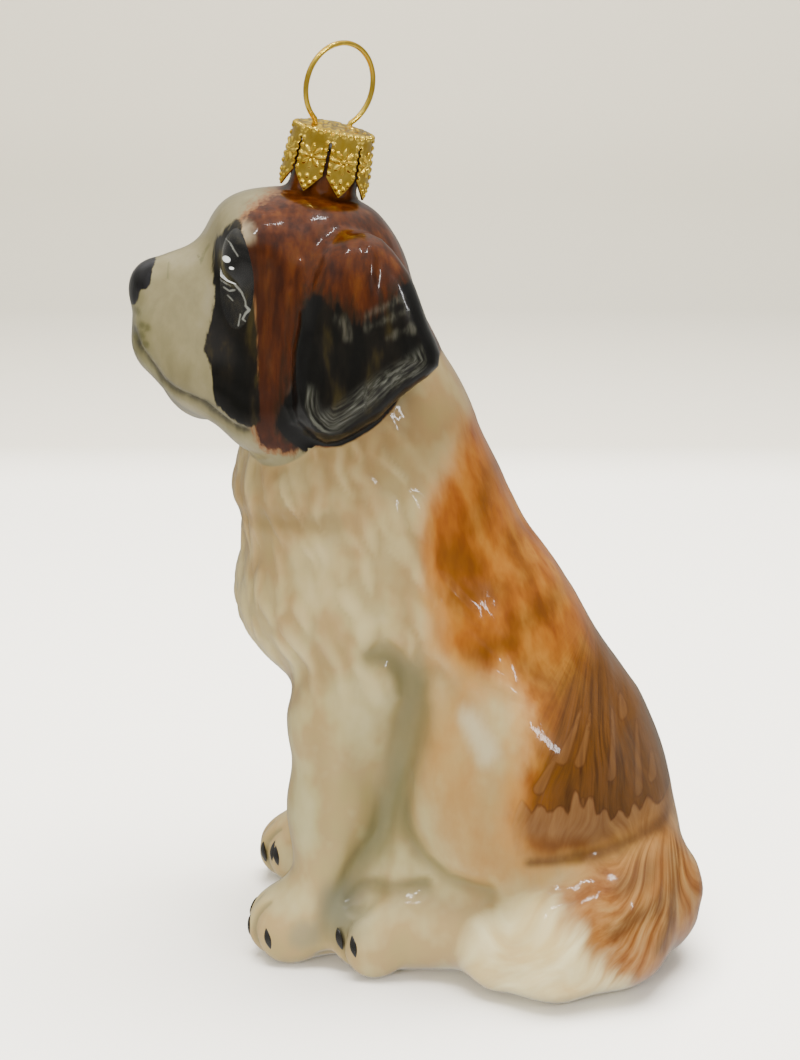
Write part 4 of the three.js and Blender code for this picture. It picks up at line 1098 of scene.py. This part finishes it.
def tab_relief(u, v, half):
    """Beads along the two sides and the point, and eight petals round a bead in the middle."""
    side = half - BEAD_INSET
    spots = [(way * side, at) for way in (-1, 1) for at in np.arange(3.0, 7.9, BEAD_PITCH)]
    spots += [(way * side * t, 0.62 + (POINT - 0.45) * t) for way in (-1, 1) for t in (0.3, 0.62)]
    spots += [(0.0, 0.62), (0.0, 2.1)]
    beads = [bead(u, v, spot, BEAD) for spot in spots]
    height = np.maximum.reduce(beads + [bead(u, v, (0, STAR_AT), STAR_BEAD)])
    for turn in PETALS:
        pu, pv = math.cos(turn), math.sin(turn)
        along, off = u * pu + (v - STAR_AT) * pv, -u * pv + (v - STAR_AT) * pu
        run = np.clip((along - 0.42) / 1.3, 0, 1)
        half_width = 0.04 + 0.26 * np.sin(math.pi * run) ** 0.8
        petal = STAR_HEIGHT * np.sqrt(np.clip(1 - (off / half_width) ** 2, 0, None))
        height = np.maximum(height, petal * (run % 1 > 0))
    return height


def cap_sector(middle, half_angle):
    """One tab and its slice of the top: columns across it, rows up the profile."""
    across = np.linspace(-1, 1, TAB_COLUMNS)
    along = np.concatenate([[0], np.cumsum(np.linalg.norm(np.diff(CAP_PROFILE, axis=0), axis=1))])
    up = np.linspace(0, 1, TAB_ROWS)[:, None]
    foot = POINT * np.abs(across) ** 1.05
    rows = foot + (SLIT_TOP - foot) * up
    above = np.linspace(SLIT_TOP, along[-1], TOP_ROWS)[1:, None]
    rows = np.vstack([rows, np.repeat(above, len(across), 1)])
    radius = np.interp(rows, along, CAP_PROFILE[:, 0])
    rise = np.interp(rows, along, CAP_PROFILE[:, 1])
    gap = np.where(rows < SLIT_TOP - 0.01, 0.18 + 0.12 * (1 - rows / SLIT_TOP), 0)
    angle = middle + across * (half_angle - gap / np.maximum(radius, 1))
    u = across * (half_angle - gap / np.maximum(radius, 1)) * np.maximum(radius, 5.0)
    half = half_angle * TAB_WIDTH_RADIUS
    height = tab_relief(u, rows, half) * (rows < 8.0)
    step = 2 * np.pi / RIM_BEADS
    rim = np.abs(((angle / step) % 1) - 0.5) * step * RIM_RADIUS
    height = np.maximum(height, bead(rim, rows, (0, RIM_AT), RIM_BEAD))
    top = ramp(rows, 9.0, 9.5)
    grit = lattice_noise(np.cos(angle) * radius / GRIT + 70, np.sin(angle) * radius / GRIT + 70, 21)
    height += GRIT_HEIGHT * grit * top
    slant = np.arctan2(np.gradient(CAP_PROFILE[:, 1]), -np.gradient(CAP_PROFILE[:, 0]))
    lean = np.interp(rows, along, slant)
    radius, rise = radius + height * np.sin(lean), rise + height * np.cos(lean)
    radius[-1] = 0
    rise[-1] = CAP_PROFILE[-1, 1]
    points = np.stack([radius * np.sin(angle), -radius * np.cos(angle), rise], 2)
    return points, height


# %% The cap's mesh
def grid_faces(rows, columns, start=0):
    """Quads of a grid whose columns run to the left as seen from outside, and whose rows run up."""
    at = start + np.arange(rows - 1)[:, None] * columns + np.arange(columns - 1)
    return np.stack([at, at + 1, at + columns + 1, at + columns], 2).reshape(-1, 4)


cap_points, cap_heights, cap_faces = [], [], []
for i in range(TABS):
    points, height = cap_sector((i + 0.5) * 2 * math.pi / TABS, math.pi / TABS)
    cap_faces.append(grid_faces(*height.shape, start=sum(len(p) for p in cap_points)))
    cap_points.append(points.reshape(-1, 3))
    cap_heights.append(height.ravel())
cap_points = np.vstack(cap_points)
c, s = math.cos(CAP_LEAN), math.sin(CAP_LEAN)
cap_points = np.stack([cap_points[:, 0], cap_points[:, 1] * c + cap_points[:, 2] * s,
                       cap_points[:, 2] * c - cap_points[:, 1] * s], 1)
print("cap", len(cap_points), "vertices, relief to %.2f mm" % max(h.max() for h in cap_heights))

# %% [markdown]
# ## Gilt metal
# Gilding is a thin coat of gold over pressed sheet or drawn wire. To the eye it is a mirror with no colour of
# its own but what it tints, so it is a metal with a low roughness. It keeps the base metal's faint
# unevenness, so its shine is broken, and the flat sheet between the beads and petals is painted darker, as
# painted shade.

# %% Gilt
gilt, tree, shader = new_material("gilt stamped sheet", **{"Metallic": 1.0, "Roughness": 0.2})
place = add(tree, "TexCoord").outputs["Object"]
dents = brushed(1.2, 1.2, seed=2.0, detail=1.5)
gold = add(tree, "ValToRGB", {"Fac": dents}, [(0.3, "f6cc48"), (0.7, "ffde66")]).outputs["Color"]
# Painted shade: the gold is darker where the relief is low, on the flat sheet between the beads, petals and
# rim beads.
gold = coat(gold, "a8802a", "height", soft=0.05, grow=0.02, jag=0.03, noise=dents, strength=0.4)
tree.links.new(gold, shader.inputs["Base Color"])
tree.links.new(add(tree, "MapRange", {"Value": dents, "To Min": 0.14, "To Max": 0.28}).outputs[0],
               shader.inputs["Roughness"])
tree.links.new(add(tree, "Bump", {"Height": dents, "Strength": 0.15, "Distance": 0.0001}).outputs["Normal"],
               shader.inputs["Normal"])
cap = mesh_object("gilt_cap", cap_points + CAP_FOOT, np.vstack(cap_faces), gilt,
                  height=np.concatenate(cap_heights))
work = bmesh.new()
work.from_mesh(cap.data)
bmesh.ops.remove_doubles(work, verts=work.verts, dist=0.00002)
bmesh.ops.recalc_face_normals(work, faces=work.faces)
work.to_mesh(cap.data)
work.free()
sheet = cap.modifiers.new("sheet", "SOLIDIFY")
sheet.thickness = 0.0003
sheet.offset = -1.0
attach(cap, "root")
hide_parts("cap")
print("cap sheet is %.1f mm thick, on %d vertices" % (sheet.thickness / MM, len(cap.data.vertices)))

# %% [markdown]
# ## The hanging ring
# The ring is one piece of spring wire, bent round and turned down at both ends, whose legs go
# through the cap's top and spread inside the glass pipe. It is a circle carried along its path.

# %% Ring path
RING_RADIUS, RING_ABOVE, RING_SHIFT, RING_TURN = 5.7, 5.0, -0.5, math.radians(40)
WIRE_RADIUS, CAP_HEIGHT = 0.36, 9.2


def ring_path():
    """An open circle from leg to leg, a (sideways) and b (up) from its centre."""
    opening = math.acos((RING_ABOVE - 0.25) / RING_RADIUS)
    leg = RING_RADIUS * math.sin(opening) - 0.3
    turn = (np.linspace(0, 1, 121) - 0.5) * 2 * (math.pi - opening)
    a, b = -np.sin(turn) * RING_RADIUS, np.cos(turn) * RING_RADIUS
    legs = np.array([(leg, -RING_ABOVE - 2.1), (leg, -RING_ABOVE - 0.6)])
    return np.vstack([legs, np.stack([a, b], 1), (legs * [-1, 1])[::-1]])


def tube(path, radius, sides):
    """A circle round each point, across the direction to the next, with both ends closed by a point."""
    along = np.gradient(path, axis=0)
    along /= np.linalg.norm(along, axis=1)[:, None]
    out = np.cross(along, np.cross(path[-1] - path[0], path[len(path) // 2] - path[0]))
    out /= np.linalg.norm(out, axis=1)[:, None]
    up = np.cross(along, out)
    turn = np.linspace(0, 2 * np.pi, sides, endpoint=False)[None, :, None]
    rings = path[:, None] + radius * (np.cos(turn) * out[:, None] + np.sin(turn) * up[:, None])
    points = np.vstack([rings.reshape(-1, 3), path[:1], path[-1:]])
    ring = np.arange(sides)
    turned = np.roll(ring, -1)
    rows = np.arange(len(path) - 1)[:, None] * sides
    faces = np.stack([rows + ring, rows + turned, rows + sides + turned, rows + sides + ring], 2)
    last, ends = (len(path) - 1) * sides, len(points)
    caps = [[ends - 2, b, a] for a, b in zip(ring, turned)]
    caps += [[ends - 1, last + a, last + b] for a, b in zip(ring, turned)]
    return points, faces.reshape(-1, 4).tolist() + caps


flat = ring_path() + [RING_SHIFT, CAP_HEIGHT + RING_ABOVE]
path = np.stack([-flat[:, 0] * math.sin(RING_TURN), flat[:, 0] * math.cos(RING_TURN), flat[:, 1]], 1)
path = np.stack([path[:, 0], path[:, 1] * c + path[:, 2] * s, path[:, 2] * c - path[:, 1] * s], 1) + CAP_FOOT
ring_points, ring_faces = tube(path, WIRE_RADIUS, 16)
wire, tree, shader = new_material("gilt spring wire", **{"Metallic": 1.0, "Roughness": 0.2})
place = add(tree, "TexCoord").outputs["Object"]
drawn = brushed(0.5, 3, seed=5.0)
tree.links.new(add(tree, "ValToRGB", {"Fac": drawn}, [
    (0.3, "ecc040"), (0.7, "f8d65e")]).outputs["Color"], shader.inputs["Base Color"])
tree.links.new(add(tree, "MapRange", {"Value": drawn, "To Min": 0.14, "To Max": 0.3}).outputs[0],
               shader.inputs["Roughness"])
ring = mesh_object("wire_ring", ring_points, ring_faces, wire)
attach(ring, "root")
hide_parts("hanging_ring")
print("ring is", np.round(np.ptp(path, axis=0), 1), "mm across")

# %% [markdown]
# ## Floor and light
# The ornament stands on a pale sweep that curves up into a wall, with a large soft light above it. The wall
# is painted darker than the floor, as painted shade.
# The gloss mirrors whatever is bright, so the large lights are kept out of reflections, and thin
# bright tubes overhead draw the fine highlights that lacquered glass shows.


# %% Sweep
def sweep_surface(width, near, far, bend, height, count=24):
    """A floor that turns up into a wall by a quarter circle of the given bend."""
    turn = np.linspace(0, math.pi / 2, count)
    run = np.concatenate([[near], -far + bend - bend * np.sin(turn), [-far]])
    rise = np.concatenate([[0], bend - bend * np.cos(turn), [height]])
    points = np.stack([np.repeat(run, 2), np.tile([-width, width], len(run)), np.repeat(rise, 2)], 1)
    row = np.arange(len(run) - 1) * 2
    return points, np.stack([row, row + 2, row + 3, row + 1], 1)


paper, tree, shader = new_material("matt paper sweep", **{"Roughness": 0.9, "Specular IOR Level": 0.12})
place = add(tree, "TexCoord").outputs["Object"]
# Painted shade: the paper is made darker up the wall than on the floor, by height.
height = add(tree, "SeparateXYZ", {"Vector": place}).outputs["Z"]
rise = add(tree, "MapRange", {"Value": height, "From Min": 0.0, "From Max": 0.09}).outputs[0]
paper_with_painted_shade = add(tree, "ValToRGB", {"Fac": rise}, [
    (0.0, "f4f3ee"), (0.06, "cdcabf"), (0.4, "a5a297"), (1.0, "b1ada0")]).outputs["Color"]
tree.links.new(paper_with_painted_shade, shader.inputs["Base Color"])
floor = mesh_object("sweep", *sweep_surface(900, 500, 330, 70, 900), paper)
floor.visible_glossy = False


# %% Lights
def soft_light(name, at, aim, size, watts, colour="ffffff", mirrored=False):
    """A rectangular area light that faces its aim. Places and sizes are in millimetres."""
    data = bpy.data.lights.new(name, "AREA")
    data.shape = "RECTANGLE"
    data.size, data.size_y = size[0] * MM, size[1] * MM
    data.energy = watts
    data.color = linear(colour)[:3]
    lamp = bpy.data.objects.new(name, data)
    bpy.context.collection.objects.link(lamp)
    lamp.location = Vector(at) * MM
    lamp.rotation_euler = (Vector(aim) - Vector(at)).to_track_quat("-Z", "Y").to_euler()
    lamp.visible_glossy = mirrored
    return lamp


soft_light("overhead", (-60, 30, 520), (0, 0, 0), (420, 420), 12.5, "fffaf2")
soft_light("front", (430, -220, 120), (0, 0, 40), (240, 200), 3.0, "fff6ea")
soft_light("tube_a", (110, -60, 420), (0, -10, 60), (4, 90), 0.2, mirrored=True)
soft_light("tube_b", (-30, 60, 440), (0, 10, 60), (4, 90), 0.2, mirrored=True)
soft_light("window", (300, 330, 330), (0, 0, 70), (30, 120), 0.5, mirrored=True)
world = bpy.data.worlds.new("tent")
world.use_nodes = True
tree = world.node_tree
glow = tree.nodes["Background"]
direction = add(tree, "SeparateXYZ", {"Vector": add(tree, "TexCoord").outputs["Generated"]}).outputs["Z"]
upward = add(tree, "MapRange", {"Value": direction, "From Min": -1.0, "From Max": 1.0}).outputs[0]
bands = add(tree, "ValToRGB", {"Fac": upward}, [
    (0.1, "f2f0ea"), (0.26, "cfccc4"), (0.36, "94928b"), (0.5, "b4b2ab"), (0.6, "9a9892"), (0.72, "c0bdb5"),
    (0.84, "fffdf8")]).outputs["Color"]
tree.links.new(bands, glow.inputs["Color"])
glow.inputs["Strength"].default_value = 1.0
bpy.context.scene.world = world
